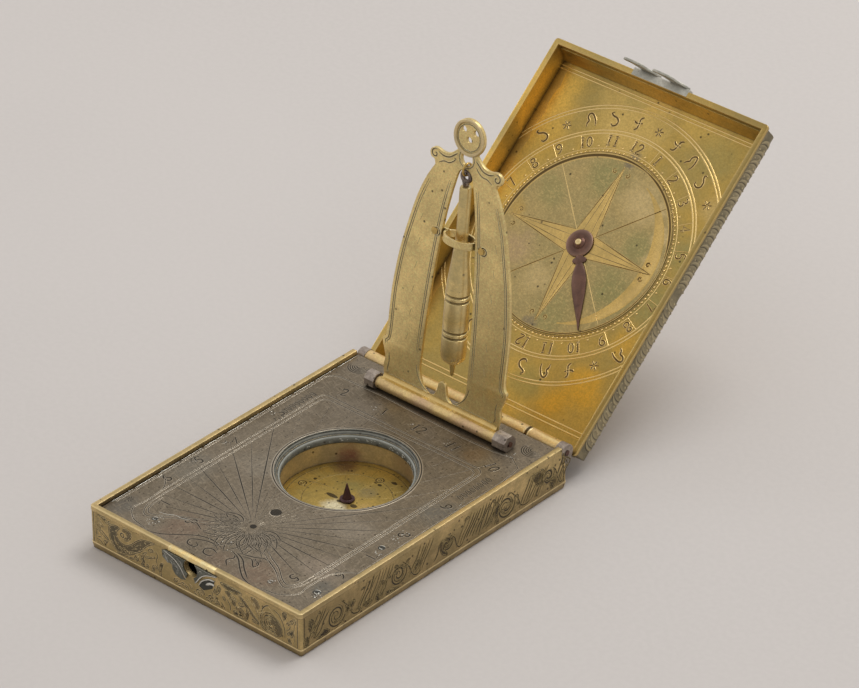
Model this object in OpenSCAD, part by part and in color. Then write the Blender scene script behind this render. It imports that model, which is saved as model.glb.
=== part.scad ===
// Diptych sundial: a small gilt case with a sunk silver hour plate and an open
// compass well, a hinged lid with a turning dial and a pointer, and a folding
// frame that carries a hanging plummet.
// Millimetres. Origin: centre of the case's underside. +X to the right,
// +Y towards the lid hinge, +Z up. Drawn open, as it stands in use.

/* [Case] */
// width of case and lid across the hinge
case_w = 51.6; // [40:0.1:80]
// depth of the case, front face to rear face
case_d = 71.6; // [50:0.1:110]
// height of the case, underside to rim
case_h = 9.2; // [6:0.1:16]
// thickness of the case's side, front and rear walls
case_wall = 1.1; // [0.6:0.05:2]
// thickness of the sheet that closes the case below
case_sheet = 0.8; // [0.4:0.05:2]
// radius of the case's upright corners
case_corner_r = 0.7; // [0:0.1:2]
// height of the rear wall, which carries the hinge on its top
rear_wall_h = 5.4; // [3:0.1:9]
// height of the catch hole in the front wall
catch_z = 6.9; // [2:0.1:8.5]
// distance of the catch hole from the middle of the front wall
catch_x = -0.6; // [-10:0.1:10]
// half the width of the catch hole
catch_r = 1.7; // [0.5:0.05:2]

/* [Hour plate] */
// how far the hour plate lies under the rim
plate_sunk = 0.9; // [0.2:0.1:2]
// thickness of the hour plate
plate_t = 0.8; // [0.4:0.05:2]
// gap between the hour plate and the walls
plate_gap = 0.15; // [0.05:0.05:0.5]
// gap between the hour plate and the lid hinge
plate_rear_gap = 0.25; // [0.1:0.05:1]
// height of the ledges that the hour plate rests on
ledge_h = 1.2; // [0.5:0.1:4]
// width of those ledges
ledge_w = 1.4; // [0.5:0.1:4]
// distance of the string hole in front of the middle
string_hole_y = -20.4; // [-30:0.1:0]
// radius of the string hole
string_hole_r = 0.5; // [0.2:0.05:2]
// distance of the larger hole in front of the middle
style_hole_y = -14.5; // [-30:0.1:0]
// radius of the larger hole
style_hole_r = 1; // [0.2:0.05:3]

/* [Compass well] */
// distance of the well's centre behind the middle
well_y = 4.3; // [-20:0.1:20]
// radius of the opening in the hour plate
well_r = 13.6; // [6:0.1:20]
// width of the lip that lines the opening
lip_w = 0.5; // [0.2:0.05:2]
// inside radius of the compass bowl
bowl_r = 12.7; // [6:0.1:20]
// thickness of the bowl's wall and floor
bowl_t = 0.5; // [0.3:0.05:2]
// height of the glass seat ring
seat_h = 1.5; // [0.5:0.1:4]
// thickness of the glass seat ring
seat_t = 0.5; // [0.2:0.05:2]
// how far the seat ring lies under the hour plate's face
seat_sunk = 0.9; // [0:0.1:4]
// thickness of the compass card
card_t = 0.3; // [0.1:0.05:1]
// radius of the needle pivot's foot
pivot_foot_r = 1.4; // [0.5:0.1:4]
// radius of the needle pivot's cone at the foot
pivot_cone_r = 1; // [0.3:0.1:4]
// height of the needle pivot's tip above the card
pivot_h = 3.6; // [1:0.1:8]

/* [Lid hinge] */
// distance of the hinge axis behind the case's rear face
hinge_out = 0.4; // [-2:0.1:3]
// distance of the hinge axis under the rim
hinge_down = 2.1; // [0:0.1:5]
// radius of the hinge knuckles
knuckle_r = 1.6; // [0.8:0.05:3]
// radius of the hinge pin
hinge_pin_r = 0.55; // [0.3:0.05:1.5]
// length of each outer case knuckle
knuckle_outer_w = 7.3; // [2:0.1:12]
// length of each lid knuckle
knuckle_lid_w = 11.3; // [3:0.1:16]
// distance of the end ears' outer faces inside the case's sides
ear_inset = 0.5; // [0:0.05:3]
// width of each end ear
ear_w = 1.7; // [0.5:0.05:4]
// how far the hinge pin's ends stand out of the end ears
pin_proud = 0.15; // [0:0.05:0.4]
// radius of the end ears
ear_r = 1.7; // [0.8:0.05:3]
// gap between neighbouring knuckles
knuckle_gap = 0.12; // [0.05:0.01:0.5]
// radial gap of a turning bore on its pin
running_gap = 0.05; // [0.01:0.01:0.1]
// radial gap of a fixed bore on its pin
fixed_gap = 0.01; // [0:0.01:0.1]
// how far the lid's heels reach below the hinge axis
heel_h = 2.9; // [1:0.1:5]
// thickness of the lid's heels
heel_t = 0.9; // [0.3:0.05:2]
// how far the heels stay inside the ends of their knuckles
heel_inset = 1; // [0:0.1:4]
// angle by which the lid opens from closed
lid_open = 139.7; // [0:0.1:180]

/* [Lid] */
// depth of the lid, rim to dial face
lid_in = 4.6; // [2:0.1:10]
// height of the lid, rim to back
lid_h = 5.9; // [3:0.1:12]
// thickness of the lid's walls at the rim
lid_wall = 1.2; // [0.6:0.05:3]
// height of the plain band along the lid's rim
lid_band_h = 0.7; // [0.2:0.1:2]
// how far the moulding is set back behind that band
lid_band_t = 0.3; // [0:0.05:1]
// radius of the lid's shoulder
shoulder_r = 2.2; // [0.5:0.1:4]
// thickness of the dial plate
dial_t = 0.5; // [0.2:0.05:2]
// width of the frame's inner margin that carries the cover sheet
cover_margin = 2.4; // [1:0.1:5]
// distance of the dial's centre from the hinge axis
dial_from_hinge = 38; // [20:0.1:60]
// radius of the turning dial disc
disc_r = 18.6; // [10:0.1:24]
// gap around the turning disc
disc_gap = 0.05; // [0.02:0.01:0.1]
// how far the disc stands out of the dial plate
disc_proud = 0.1; // [0:0.05:0.5]
// width of the sloping strip along the free edge
edge_strip_w = 1.4; // [0.5:0.1:3]
// height of that strip
edge_strip_h = 3.4; // [0.5:0.1:4]

/* [Pointer] */
// length of the pointer from its centre to its tip
pointer_len = 18.2; // [6:0.1:18.4]
// radius of the pointer's hub
pointer_hub_r = 2.8; // [1:0.1:5]
// thickness of the pointer
pointer_t = 0.35; // [0.2:0.05:1]
// gap between the pointer and the disc
pointer_gap = 0.1; // [0.05:0.01:0.5]
// half the greatest width of the blade
blade_half = 1.5; // [0.5:0.1:4]
// angle of the pointer from the dial's centre line
pointer_turn = -32; // [-180:1:180]
// radius of the arbor that pointer and disc turn on
arbor_r = 0.8; // [0.3:0.05:2]
// radius of the arbor's domed head
arbor_head_r = 1.25; // [0.5:0.05:3]
// height of the arbor's domed head
arbor_head_h = 0.45; // [0.2:0.05:1]

/* [Clasp] */
// half the width of the clasp plate on the lid
clasp_half = 6.8; // [3:0.1:12]
// thickness of the clasp plate
clasp_t = 0.5; // [0.3:0.05:1.5]
// height of the clasp plate on the lid's edge
clasp_h = 1.6; // [0.8:0.1:4]
// width of one clasp leaf
clasp_leaf_w = 5; // [2:0.1:8]
// length of one clasp leaf
clasp_leaf_h = 3.6; // [1:0.1:5]
// distance of the clasp leaves' roots behind the rim
clasp_root = 0.9; // [0.2:0.1:2]
// distance of the left leaf's root from the middle
clasp_left_x = -4.9; // [-9:0.1:0]
// distance of the right leaf's root from the middle
clasp_right_x = 2.1; // [0:0.1:9]
// thickness of the two catch leaves on the case
leaf_t = 0.3; // [0.1:0.05:1]
// half the length of a catch leaf
leaf_half = 2.4; // [1:0.1:4]
// height of the catch leaves' roots
leaf_z = 8.2; // [4:0.1:9]
// gap between a catch leaf and the catch hole
leaf_gap = 0.1; // [0.05:0.05:2]
// depth of the room for the catch in the hour plate's front edge
catch_room = 0.8; // [0.2:0.1:3]

/* [Plummet frame] */
// distance of the frame's axis behind the middle
frame_y = 28.5; // [20:0.1:32]
// distance of the frame's middle from the case's middle
frame_x = 0.5; // [-5:0.1:5]
// angle by which the raised frame leans back
frame_lean = 8.5; // [0:0.1:20]
// radius of the frame's barrel
barrel_r = 1.2; // [0.8:0.05:3]
// half the length of the barrel
barrel_half = 14.5; // [8:0.1:20]
// gap between the barrel and the hour plate
barrel_gap = 0.1; // [0.05:0.01:0.5]
// radius of the frame's hinge pin
frame_pin_r = 0.5; // [0.3:0.05:1]
// radius of the eight-sided lugs, corner to centre
lug_r = 1.75; // [1:0.05:3]
// width of the left lug
lug_left_w = 2.2; // [1:0.1:5]
// width of the right lug
lug_right_w = 3; // [1:0.1:5]
// thickness of the frame's leaf
leafplate_t = 0.7; // [0.3:0.05:2]
// distance of the leaf's front face behind the barrel's axis
leafplate_back = 0.5; // [0:0.05:1.2]
// distance of the pierced disc's centre above the hanging hole
crest_rise = 4.2; // [3:0.1:8]
// radius of the pierced disc
crest_r = 3.6; // [2:0.1:6]
// width of the raised ring round that disc
crest_ring_w = 0.75; // [0.3:0.05:2]
// height of that ring
crest_ring_h = 0.25; // [0.1:0.05:1]
// height of the hanging hole above the barrel's axis
hang_h = 50.4; // [40:0.1:56]
// radius of the hanging hole
hang_r = 1.3; // [0.5:0.05:2]
// width of the strip between the hanging hole and the window below it
hang_strip = 0.7; // [0.4:0.05:2]
// half the width of the window's arched head
arch_half = 1.8; // [1.2:0.05:3]

/* [Keeper and plummet] */
// height of the keeper loop above the barrel's axis
keeper_h = 34.2; // [20:0.1:44]
// height of the keeper's band
keeper_band = 1.4; // [0.5:0.1:3]
// half the keeper's outer width across the frame
keeper_half = 3.6; // [2:0.1:5]
// half the keeper's outer depth through the frame
keeper_deep = 2.3; // [1:0.1:4]
// thickness of the keeper's band
keeper_t = 0.4; // [0.2:0.05:1]
// distance of the keeper's rivets from the middle
rivet_x = 5.6; // [4:0.1:8]
// radius of the keeper's rivets
rivet_r = 0.45; // [0.2:0.05:1]
// how far the keeper's ears reach past its rivets
rivet_margin = 1.8; // [0.8:0.1:4]
// gap between the plummet's neck and the keeper's rear band
neck_gap = 0.164; // [0.05:0.001:0.5]
// angle between the hanging plummet and the frame's leaf
plummet_tilt = 3; // [0:0.1:6]
// radius of the wire link, centre line
link_r = 1.15; // [0.6:0.05:3]
// radius of the link's wire
link_wire_r = 0.22; // [0.1:0.01:0.5]
// radius of the plummet's eye, centre line
eye_r = 0.95; // [0.5:0.05:2]
// radius of the eye's section
eye_wire_r = 0.42; // [0.2:0.01:1]
// greatest radius of the plummet
bob_r = 2.4; // [1:0.05:4]
// radius of the plummet's neck
neck_r = 1.15; // [0.5:0.05:2]
// height of the plummet's lower tip above the barrel's axis
bob_tip_h = 6.1; // [4:0.1:20]
// height of the plummet's turned body, tip to the foot of its cone
bob_body_h = 17.3; // [8:0.1:24]

/* [Hidden] */
$fn = 64;
eps = 0.01;
rim_z = case_h;
plate_z = rim_z - plate_sunk;
half_w = case_w / 2;
half_d = case_d / 2;
in_w = half_w - case_wall;
in_d = half_d - case_wall;
hinge_y = half_d + hinge_out;
hinge_z = rim_z - hinge_down;
plate_half_w = in_w - plate_gap;
plate_front = -in_d + plate_gap;
plate_rear = hinge_y - knuckle_r - plate_rear_gap;
lip_r = well_r - lip_w;
dial_z = rim_z + lid_in;
cover_z = dial_z + dial_t;
lid_top = rim_z + lid_h;
lid_half_in = half_w - lid_wall;
lid_in_d = half_d - lid_wall;
dial_y = hinge_y - dial_from_hinge;
disc_face = dial_z - disc_proud;
pointer_back = disc_face - pointer_gap;
pointer_face = pointer_back - pointer_t;
frame_z = plate_z + barrel_r + barrel_gap;
leaf_mid = leafplate_back + leafplate_t / 2;
leaf_rear = leafplate_back + leafplate_t;
link_h = hang_h - hang_r + link_wire_r + 0.13 - link_r;
pivot_hang_h = hang_h - hang_r + 0.1;
eye_h = link_h - link_r + link_wire_r + 0.02 + eye_wire_r - eye_r;
crest_h = hang_h + crest_rise;
window_h = hang_h - hang_r - hang_strip;
// the keeper's rear band stands behind the neck of the leaning plummet
keeper_mid = leaf_mid + (pivot_hang_h - keeper_h) * tan(plummet_tilt)
             + neck_r + neck_gap + keeper_t - keeper_deep;
ear_out = half_w - ear_inset;
ear_in = ear_out - ear_w;
knuckle_joint = ear_in - knuckle_outer_w;
knuckle_mid = knuckle_joint - knuckle_lid_w;
fold_turn = 90 + frame_lean;

gilt = [0.72, 0.58, 0.26];
pale_gilt = [0.74, 0.66, 0.42];
silver = [0.50, 0.47, 0.42];
steel = [0.24, 0.17, 0.14];
grey = [0.42, 0.46, 0.46];

// places closed-lid geometry at the lid's open angle
module in_lid() {
  translate([0, hinge_y, hinge_z]) rotate([-lid_open, 0, 0])
    translate([0, -hinge_y, -hinge_z]) children();
}

// places frame geometry: x across, y through the leaf, z along the leaf
module in_frame() {
  translate([frame_x, frame_y, frame_z]) rotate([-frame_lean, 0, 0]) children();
}

// places what hangs from the frame, tilted about the hanging hole's edge
module in_plummet() {
  in_frame() translate([0, leaf_mid, pivot_hang_h]) rotate([plummet_tilt, 0, 0])
    translate([0, 0, -pivot_hang_h]) children();
}

// a cylinder along X from x1 to x2, about the given axis
module rod_x(x1, x2, y, z, r) {
  translate([x1, y, z]) rotate([0, 90, 0]) cylinder(h = x2 - x1, r = r);
}

// a box from two corners
module box(a, b) {
  translate(a) cube([b[0] - a[0], b[1] - a[1], b[2] - a[2]]);
}

// upright box with rounded upright corners
module round_box(w, d, h, r) {
  box([-w + r, -d, 0], [w - r, d, h]);
  box([-w, -d + r, 0], [w, d - r, h]);
  for (sx = [-1, 1], sy = [-1, 1])
    translate([sx * (w - r), sy * (d - r), 0]) cylinder(h = h, r = r);
}

module case_floor() {
  color(gilt) box([-in_w, -in_d, 0], [in_w, in_d, case_sheet]);
}

module case_walls() {
  color(gilt) difference() {
    round_box(half_w, half_d, case_h, case_corner_r);
    box([-in_w, -in_d, -1], [in_w, in_d, case_h + 1]);
    // the rear wall is low and carries the hinge
    box([-half_w - 1, in_d - 0.5, rear_wall_h], [half_w + 1, half_d + 1, case_h + 1]);
    // catch hole
    for (dz = [-0.1, 0.1])
      translate([catch_x, -half_d - 1, catch_z + dz]) rotate([-90, 0, 0])
        cylinder(h = case_wall + 2, r = catch_r);
    box([catch_x - catch_r, -half_d - 1, catch_z - 0.1],
        [catch_x + catch_r, -half_d + case_wall + 1, catch_z + 0.1]);
  }
}

module plate_ledge(side) {
  z2 = plate_z - plate_t;
  x1 = side < 0 ? -in_w : in_w - ledge_w;
  color(gilt) box([x1, -in_d, z2 - ledge_h], [x1 + ledge_w, in_d - 1, z2]);
}

module hour_plate() {
  color(silver) difference() {
    box([-plate_half_w, plate_front, plate_z - plate_t],
        [plate_half_w, plate_rear, plate_z]);
    translate([0, well_y, 0]) cylinder(h = case_h, r = well_r);
    translate([0, string_hole_y, 0]) cylinder(h = case_h, r = string_hole_r);
    translate([0, style_hole_y, 0]) cylinder(h = case_h, r = style_hole_r);
    // room for the catch behind the front wall
    box([catch_x - catch_r - 0.2, plate_front - 1, plate_z - plate_t - 1],
        [catch_x + catch_r + 0.2, plate_front + catch_room, plate_z + 1]);
  }
}

module well_lip() {
  color(pale_gilt) translate([0, well_y, plate_z - plate_t]) difference() {
    cylinder(h = plate_t, r = well_r - eps);
    translate([0, 0, -1]) cylinder(h = plate_t + 2, r = lip_r);
  }
}

module compass_bowl() {
  bowl_top = plate_z - plate_t;
  color(gilt) translate([0, well_y, case_sheet]) difference() {
    cylinder(h = bowl_top - case_sheet, r = bowl_r + bowl_t);
    translate([0, 0, bowl_t]) cylinder(h = case_h, r = bowl_r);
  }
}

module glass_seat_ring() {
  seat_top = plate_z - seat_sunk;
  color(grey) translate([0, well_y, seat_top - seat_h]) difference() {
    cylinder(h = seat_h, r = bowl_r - eps);
    translate([0, 0, -1]) cylinder(h = seat_h + 2, r = bowl_r - seat_t);
  }
}

module compass_card() {
  color(gilt) translate([0, well_y, case_sheet + bowl_t])
    cylinder(h = card_t, r = bowl_r - 0.1);
}

module needle_pivot() {
  color(steel) translate([0, well_y, case_sheet + bowl_t + card_t]) {
    cylinder(h = 0.35, r = pivot_foot_r);
    cylinder(h = pivot_h, r1 = pivot_cone_r, r2 = 0.08);
  }
}

module frame_lug(x1, x2) {
  color(silver) difference() {
    translate([x1, frame_y, frame_z]) rotate([22.5, 0, 0]) rotate([0, 90, 0])
      cylinder(h = x2 - x1, r = lug_r, $fn = 8);
    box([x1 - 1, frame_y - 5, plate_z - 5], [x2 + 1, frame_y + 5, plate_z]);
    rod_x(x1 - 1, x2 + 1, frame_y, frame_z, frame_pin_r + fixed_gap);
  }
}

lug_left_x = frame_x - barrel_half - knuckle_gap;
lug_right_x = frame_x + barrel_half + knuckle_gap;

module frame_pin() {
  color(steel) rod_x(lug_left_x - lug_left_w + 0.1, lug_right_x + lug_right_w + 0.25,
                     frame_y, frame_z, frame_pin_r);
}

// one knuckle on the case's rear wall
module case_knuckle(x1, x2) {
  color(gilt) difference() {
    union() {
      rod_x(x1, x2, hinge_y, hinge_z, knuckle_r);
      box([x1, in_d + 0.15, rear_wall_h], [x2, half_d, hinge_z]);
    }
    rod_x(x1 - 1, x2 + 1, hinge_y, hinge_z, hinge_pin_r + fixed_gap);
  }
}

// the end ear: a small round lug on the case's rear corner
module hinge_ear(x1, x2) {
  color(silver) difference() {
    union() {
      rod_x(x1, x2, hinge_y, hinge_z, ear_r);
      box([x1, in_d - 0.35, rear_wall_h], [x2, half_d, hinge_z]);
    }
    rod_x(x1 - 1, x2 + 1, hinge_y, hinge_z, hinge_pin_r + fixed_gap);
  }
}

module hinge_pin() {
  color(gilt) rod_x(-ear_out - pin_proud, ear_out + pin_proud, hinge_y, hinge_z,
                    hinge_pin_r);
}

// a silver leaf beside the catch hole: a spandrel with a hollow lower edge
module catch_leaf(side) {
  tip = catch_r + 2 * leaf_half;
  color(silver) translate([catch_x, -half_d, 0]) rotate([90, 0, 0])
    linear_extrude(leaf_t) difference() {
      polygon([for (q = [[catch_r / 3, 0], [tip, 0], [tip, -0.06 * leaf_half],
                         [tip * 0.74, -0.4 * leaf_half], [tip * 0.54, -0.73 * leaf_half],
                         [tip * 0.385, -1.1 * leaf_half], [tip * 0.28, -1.645 * leaf_half],
                         [catch_r + leaf_gap - 0.02, catch_z - leaf_z]])
                 [side * q[0], leaf_z + q[1]]]);
      translate([0, catch_z]) circle(r = catch_r + leaf_gap);
    }
}

// section of the lid's moulding across a half width w, closed position
module lid_section(w) {
  m = w - lid_band_t;
  polygon(concat(
    [[-w, rim_z], [-w, rim_z + lid_band_h], [-m, rim_z + lid_band_h]],
    [for (a = [0:5:90]) [-m + shoulder_r * (1 - cos(a)),
                         lid_top - shoulder_r * (1 - sin(a))]],
    [for (a = [90:-5:0]) [m - shoulder_r * (1 - cos(a)),
                          lid_top - shoulder_r * (1 - sin(a))]],
    [[m, rim_z + lid_band_h], [w, rim_z + lid_band_h], [w, rim_z]]));
}

module lid_block() {
  intersection() {
    translate([0, half_d + 1, 0]) rotate([90, 0, 0])
      linear_extrude(case_d + 2) lid_section(half_w);
    translate([-half_w - 1, 0, 0]) rotate([90, 0, 90])
      linear_extrude(case_w + 2) lid_section(half_d);
  }
}

module lid_walls() {
  cw = half_w - cover_margin;
  cd = half_d - cover_margin;
  color(gilt) in_lid() difference() {
    lid_block();
    box([-lid_half_in, -lid_in_d, rim_z - 1], [lid_half_in, lid_in_d, cover_z]);
    box([-cw, -cd, cover_z - 1], [cw, cd, lid_top + 1]);
  }
}

module lid_cover() {
  cw = half_w - cover_margin;
  cd = half_d - cover_margin;
  color(gilt) in_lid() difference() {
    box([-cw, -cd, cover_z], [cw, cd, lid_top]);
    translate([0, dial_y, cover_z - 1]) cylinder(h = 3, r = arbor_r + fixed_gap);
  }
}

module dial_plate() {
  color(gilt) in_lid() difference() {
    box([-lid_half_in, -lid_in_d, dial_z], [lid_half_in, lid_in_d, cover_z]);
    translate([0, dial_y, dial_z - 1]) cylinder(h = 3, r = disc_r + disc_gap);
  }
}

module lid_edge_strip() {
  color(gilt) in_lid() translate([-lid_half_in, 0, 0]) rotate([90, 0, 90])
    linear_extrude(2 * lid_half_in)
      polygon([[-lid_in_d, dial_z], [-lid_in_d, dial_z - edge_strip_h],
               [-lid_in_d + 0.25, dial_z - edge_strip_h],
               [-lid_in_d + 0.6, dial_z - edge_strip_h * 0.5],
               [-lid_in_d + edge_strip_w, dial_z - 0.25],
               [-lid_in_d + edge_strip_w, dial_z]]);
}

// one knuckle under the lid's rear wall, with the heel that stops the lid
module lid_knuckle(x1, x2) {
  heel_x1 = x1 + heel_inset;
  heel_x2 = x2 - heel_inset;
  color(gilt) difference() {
    union() {
      in_lid() {
        rod_x(x1, x2, hinge_y, hinge_z, knuckle_r);
        box([x1, in_d + 0.2, hinge_z], [x2, half_d, rim_z]);
      }
      box([heel_x1, half_d + 2 * eps, hinge_z - heel_h],
          [heel_x2, half_d + heel_t, hinge_z]);
    }
    rod_x(x1 - 1, x2 + 1, hinge_y, hinge_z, hinge_pin_r + running_gap);
  }
}

// outline of one clasp leaf: hooked, leaning to the left; y runs out of the lid
function clasp_lobe(x0, w, h) =
  [[x0, h * 0.11], [x0 - w * 0.1, h * 0.45], [x0 - w * 0.35, h * 0.72],
   [x0 - w * 0.62, h * 0.80], [x0 - w * 0.66, h * 0.95], [x0 - w * 0.5, h],
   [x0 - w * 0.1, h * 0.98], [x0 + w * 0.2, h * 0.86], [x0 + w * 0.36, h * 0.6],
   [x0 + w * 0.62, h * 0.42], [x0 + w * 0.8, h * 0.2], [x0 + w * 0.85, h * 0.11]];

module clasp_plate() {
  color(silver) in_lid() {
    // strip let into the rim and carried over the free edge
    box([-clasp_half, -half_d - clasp_t, rim_z + 0.05],
        [clasp_half, -half_d, rim_z + clasp_h]);
    // the two leaves reach past the rim plane, clear of the catch leaves
    translate([0, -half_d - leaf_t - 0.1, 0]) rotate([90, 0, 0])
      linear_extrude(clasp_t) for (k = [clasp_left_x, clasp_right_x])
        polygon([for (q = clasp_lobe(k, clasp_leaf_w, clasp_leaf_h))
                   [q[0], rim_z + clasp_root - q[1]]]);
  }
}

module dial_arbor() {
  color(gilt) in_lid() translate([0, dial_y, 0]) {
    translate([0, 0, pointer_face - 0.04]) cylinder(h = lid_top - pointer_face + 0.04, r = arbor_r);
    // domed head, a cap of a ball
    translate([0, 0, pointer_face - 0.04 + eps]) intersection() {
      translate([0, 0, (pow(arbor_head_r, 2) - pow(arbor_head_h, 2)) / (2 * arbor_head_h)])
        sphere(r = (pow(arbor_head_r, 2) + pow(arbor_head_h, 2)) / (2 * arbor_head_h));
      translate([0, 0, -arbor_head_h]) cylinder(h = arbor_head_h, r = arbor_head_r);
    }
  }
}

module dial_disc() {
  color(gilt) in_lid() translate([0, dial_y, 0]) difference() {
    translate([0, 0, disc_face]) cylinder(h = cover_z - 0.04 - disc_face, r = disc_r);
    cylinder(h = 40, r = arbor_r + running_gap);
    // index notch in the edge, at the free-edge side
    translate([0, -disc_r, 0]) rotate([0, 0, 45]) box([-0.35, -0.35, 0], [0.35, 0.35, 40]);
  }
}

// pointer outline, blade along +Y
module pointer_shape() {
  circle(r = pointer_hub_r);
  translate([-0.75, 2]) square([1.5, 3]);
  for (s = [-1, 1]) translate([s * 0.85, 3.6]) circle(r = 0.6);
  polygon([[-0.5, 4], [-0.95, 5], [-blade_half * 0.9, 6.5], [-blade_half, 8.2],
           [-blade_half * 0.86, 10.5], [-blade_half * 0.55, 13.2],
           [-0.28, 16.2], [0, pointer_len], [0.28, 16.2],
           [blade_half * 0.55, 13.2], [blade_half * 0.86, 10.5],
           [blade_half, 8.2], [blade_half * 0.9, 6.5], [0.95, 5], [0.5, 4]]);
}

module pointer() {
  color(steel) in_lid() translate([0, dial_y, 0]) difference() {
    union() {
      translate([0, 0, pointer_face]) rotate([0, 0, pointer_turn])
        linear_extrude(pointer_t) pointer_shape();
      translate([0, 0, pointer_back - eps]) cylinder(h = pointer_gap - 0.03, r = 1.6);
    }
    cylinder(h = 40, r = arbor_r + running_gap);
  }
}

module frame_barrel() {
  color(pale_gilt) in_frame() difference() {
    rod_x(-barrel_half, barrel_half, 0, 0, barrel_r);
    rod_x(-barrel_half - 1, barrel_half + 1, 0, 0, frame_pin_r + running_gap);
  }
}

// outline points given as shares of the barrel's half length and of the
// hanging hole's height
function span(p) = [for (q = p) [q[0] * barrel_half, q[1] * hang_h]];

// right half of the leaf's outer edge and of its window, foot to top
leg_outer = span([[0.9724, 0], [0.9586, 0.0317], [0.9862, 0.0675], [0.9724, 0.1032],
                  [1, 0.131], [1.0345, 0.1567], [1.0414, 0.1766], [1, 0.1905],
                  [0.9862, 0.2282], [0.9862, 0.3175], [0.9793, 0.3968], [0.9448, 0.496],
                  [0.9034, 0.5754], [0.8276, 0.6746], [0.731, 0.7837], [0.6138, 0.871],
                  [0.4966, 0.9306]]);
leg_inner = concat(span([[0, 0.1111], [0.0483, 0.1032], [0.069, 0.0833], [0.0897, 0.0595],
                  [0.1379, 0.0417], [0.2069, 0.0357], [0.2897, 0.0476], [0.3517, 0.0754],
                  [0.3931, 0.1151], [0.3931, 0.1786], [0.3828, 0.2778], [0.3621, 0.3968],
                  [0.3448, 0.4762], [0.3172, 0.5754], [0.2862, 0.6647], [0.2483, 0.754],
                  [0.2, 0.8333], [0.1586, 0.8889]]),
                   [[arch_half, window_h - 0.89 * arch_half],
                    [0.64 * arch_half, window_h - 0.28 * arch_half], [0, window_h]]);
// right side scroll at the crest: upper edge outwards, then lower edge back
scroll = span([[0.1586, 1.0258], [0.2138, 1.0099], [0.2966, 0.994], [0.3862, 0.9901],
               [0.4759, 0.996], [0.5379, 0.994], [0.5862, 0.9821], [0.5931, 0.9663],
               [0.5655, 0.9524], [0.5172, 0.9484], [0.4966, 0.9306]]);

function mirrored(p) = [for (i = [len(p) - 1:-1:0]) [-p[i][0], p[i][1]]];

module leaf_outline() {
  // from the window's top, round the scroll and up into the pierced disc
  shoulder = concat(span([[0, 0.9226]]), [for (i = [len(scroll) - 1:-1:0]) scroll[i]],
                    [[0, crest_h - crest_r * 7 / 12]]);
  difference() {
    union() {
      polygon(concat(leg_outer, mirrored(leg_outer)));
      polygon(shoulder);
      mirror([1, 0]) polygon(shoulder);
      translate([0, crest_h]) circle(r = crest_r);
    }
    polygon(concat(leg_inner, mirrored(leg_inner)));
    translate([0, hang_h]) circle(r = hang_r);
    // three small holes in the crest
    for (q = [[-0.403, 0.347], [0.403, 0.347], [0, -0.139]])
      translate([q[0] * crest_r, crest_h + q[1] * crest_r]) circle(r = crest_r / 6);
  }
}

// through holes for the keeper's two rivets
module rivet_bores() {
  for (s = [-1, 1]) translate([s * rivet_x, -keeper_deep, keeper_h]) rotate([-90, 0, 0])
    cylinder(h = 3 * keeper_deep, r = rivet_r + fixed_gap);
}

module plummet_frame() {
  color(pale_gilt) in_frame() difference() {
    union() {
      translate([0, leaf_rear, 0]) rotate([90, 0, 0])
        linear_extrude(leafplate_t) leaf_outline();
      // raised ring round the crest, on the front face
      translate([0, leafplate_back + eps, crest_h]) rotate([90, 0, 0]) difference() {
        cylinder(h = crest_ring_h, r = crest_r);
        translate([0, 0, -1]) cylinder(h = crest_ring_h + 2, r = crest_r - crest_ring_w);
      }
    }
    rod_x(-2 * barrel_half, 2 * barrel_half, 0, 0, barrel_r + eps);
    rivet_bores();
  }
}

// oval as a polygon, for the keeper's band
function oval(a, b) = [for (t = [0:6:354]) [a * cos(t), b * sin(t)]];

module keeper_loop() {
  color(pale_gilt) in_frame() difference() {
    union() {
      translate([0, keeper_mid, keeper_h - keeper_band / 2])
        linear_extrude(keeper_band) polygon(oval(keeper_half, keeper_deep));
      // ears behind the legs
      ear = [keeper_half - 2.5 * keeper_t, rivet_x + rivet_margin];
      ear_half_h = keeper_band / 2 + keeper_t / 2;
      for (s = [-1, 1])
        box([min(s * ear[0], s * ear[1]), leaf_rear + eps, keeper_h - ear_half_h],
            [max(s * ear[0], s * ear[1]), leaf_rear + eps + keeper_t, keeper_h + ear_half_h]);
    }
    translate([0, keeper_mid, keeper_h - keeper_band])
      linear_extrude(2 * keeper_band) polygon(oval(keeper_half - keeper_t, keeper_deep - keeper_t));
    rivet_bores();
  }
}

module keeper_rivet(side) {
  color(gilt) in_frame() translate([side * rivet_x, 0, keeper_h]) rotate([-90, 0, 0]) {
    translate([0, 0, leafplate_back - 0.15]) cylinder(h = leafplate_t + keeper_t + 0.4, r = rivet_r);
    translate([0, 0, leafplate_back - 0.17]) cylinder(h = 0.16, r = rivet_r + 0.25);
    translate([0, 0, leaf_rear + keeper_t + 0.03]) cylinder(h = 0.2, r = rivet_r + 0.25);
  }
}

module ring(big, small) {
  rotate_extrude() translate([big, 0]) circle(r = small, $fn = 32);
}

module plummet_link() {
  color(gilt) in_plummet() translate([0, 0, link_h]) rotate([0, 90, 0])
    ring(link_r, link_wire_r);
}

module plummet_eye() {
  color(steel) in_plummet() {
    translate([0, 0, eye_h]) rotate([90, 0, 0]) ring(eye_r, eye_wire_r);
    translate([0, 0, eye_h - eye_r - 0.95]) cylinder(h = 0.9, r1 = 0.55, r2 = 0.75);
  }
}

bob_top_h = eye_h - eye_r - 0.95;

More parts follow.
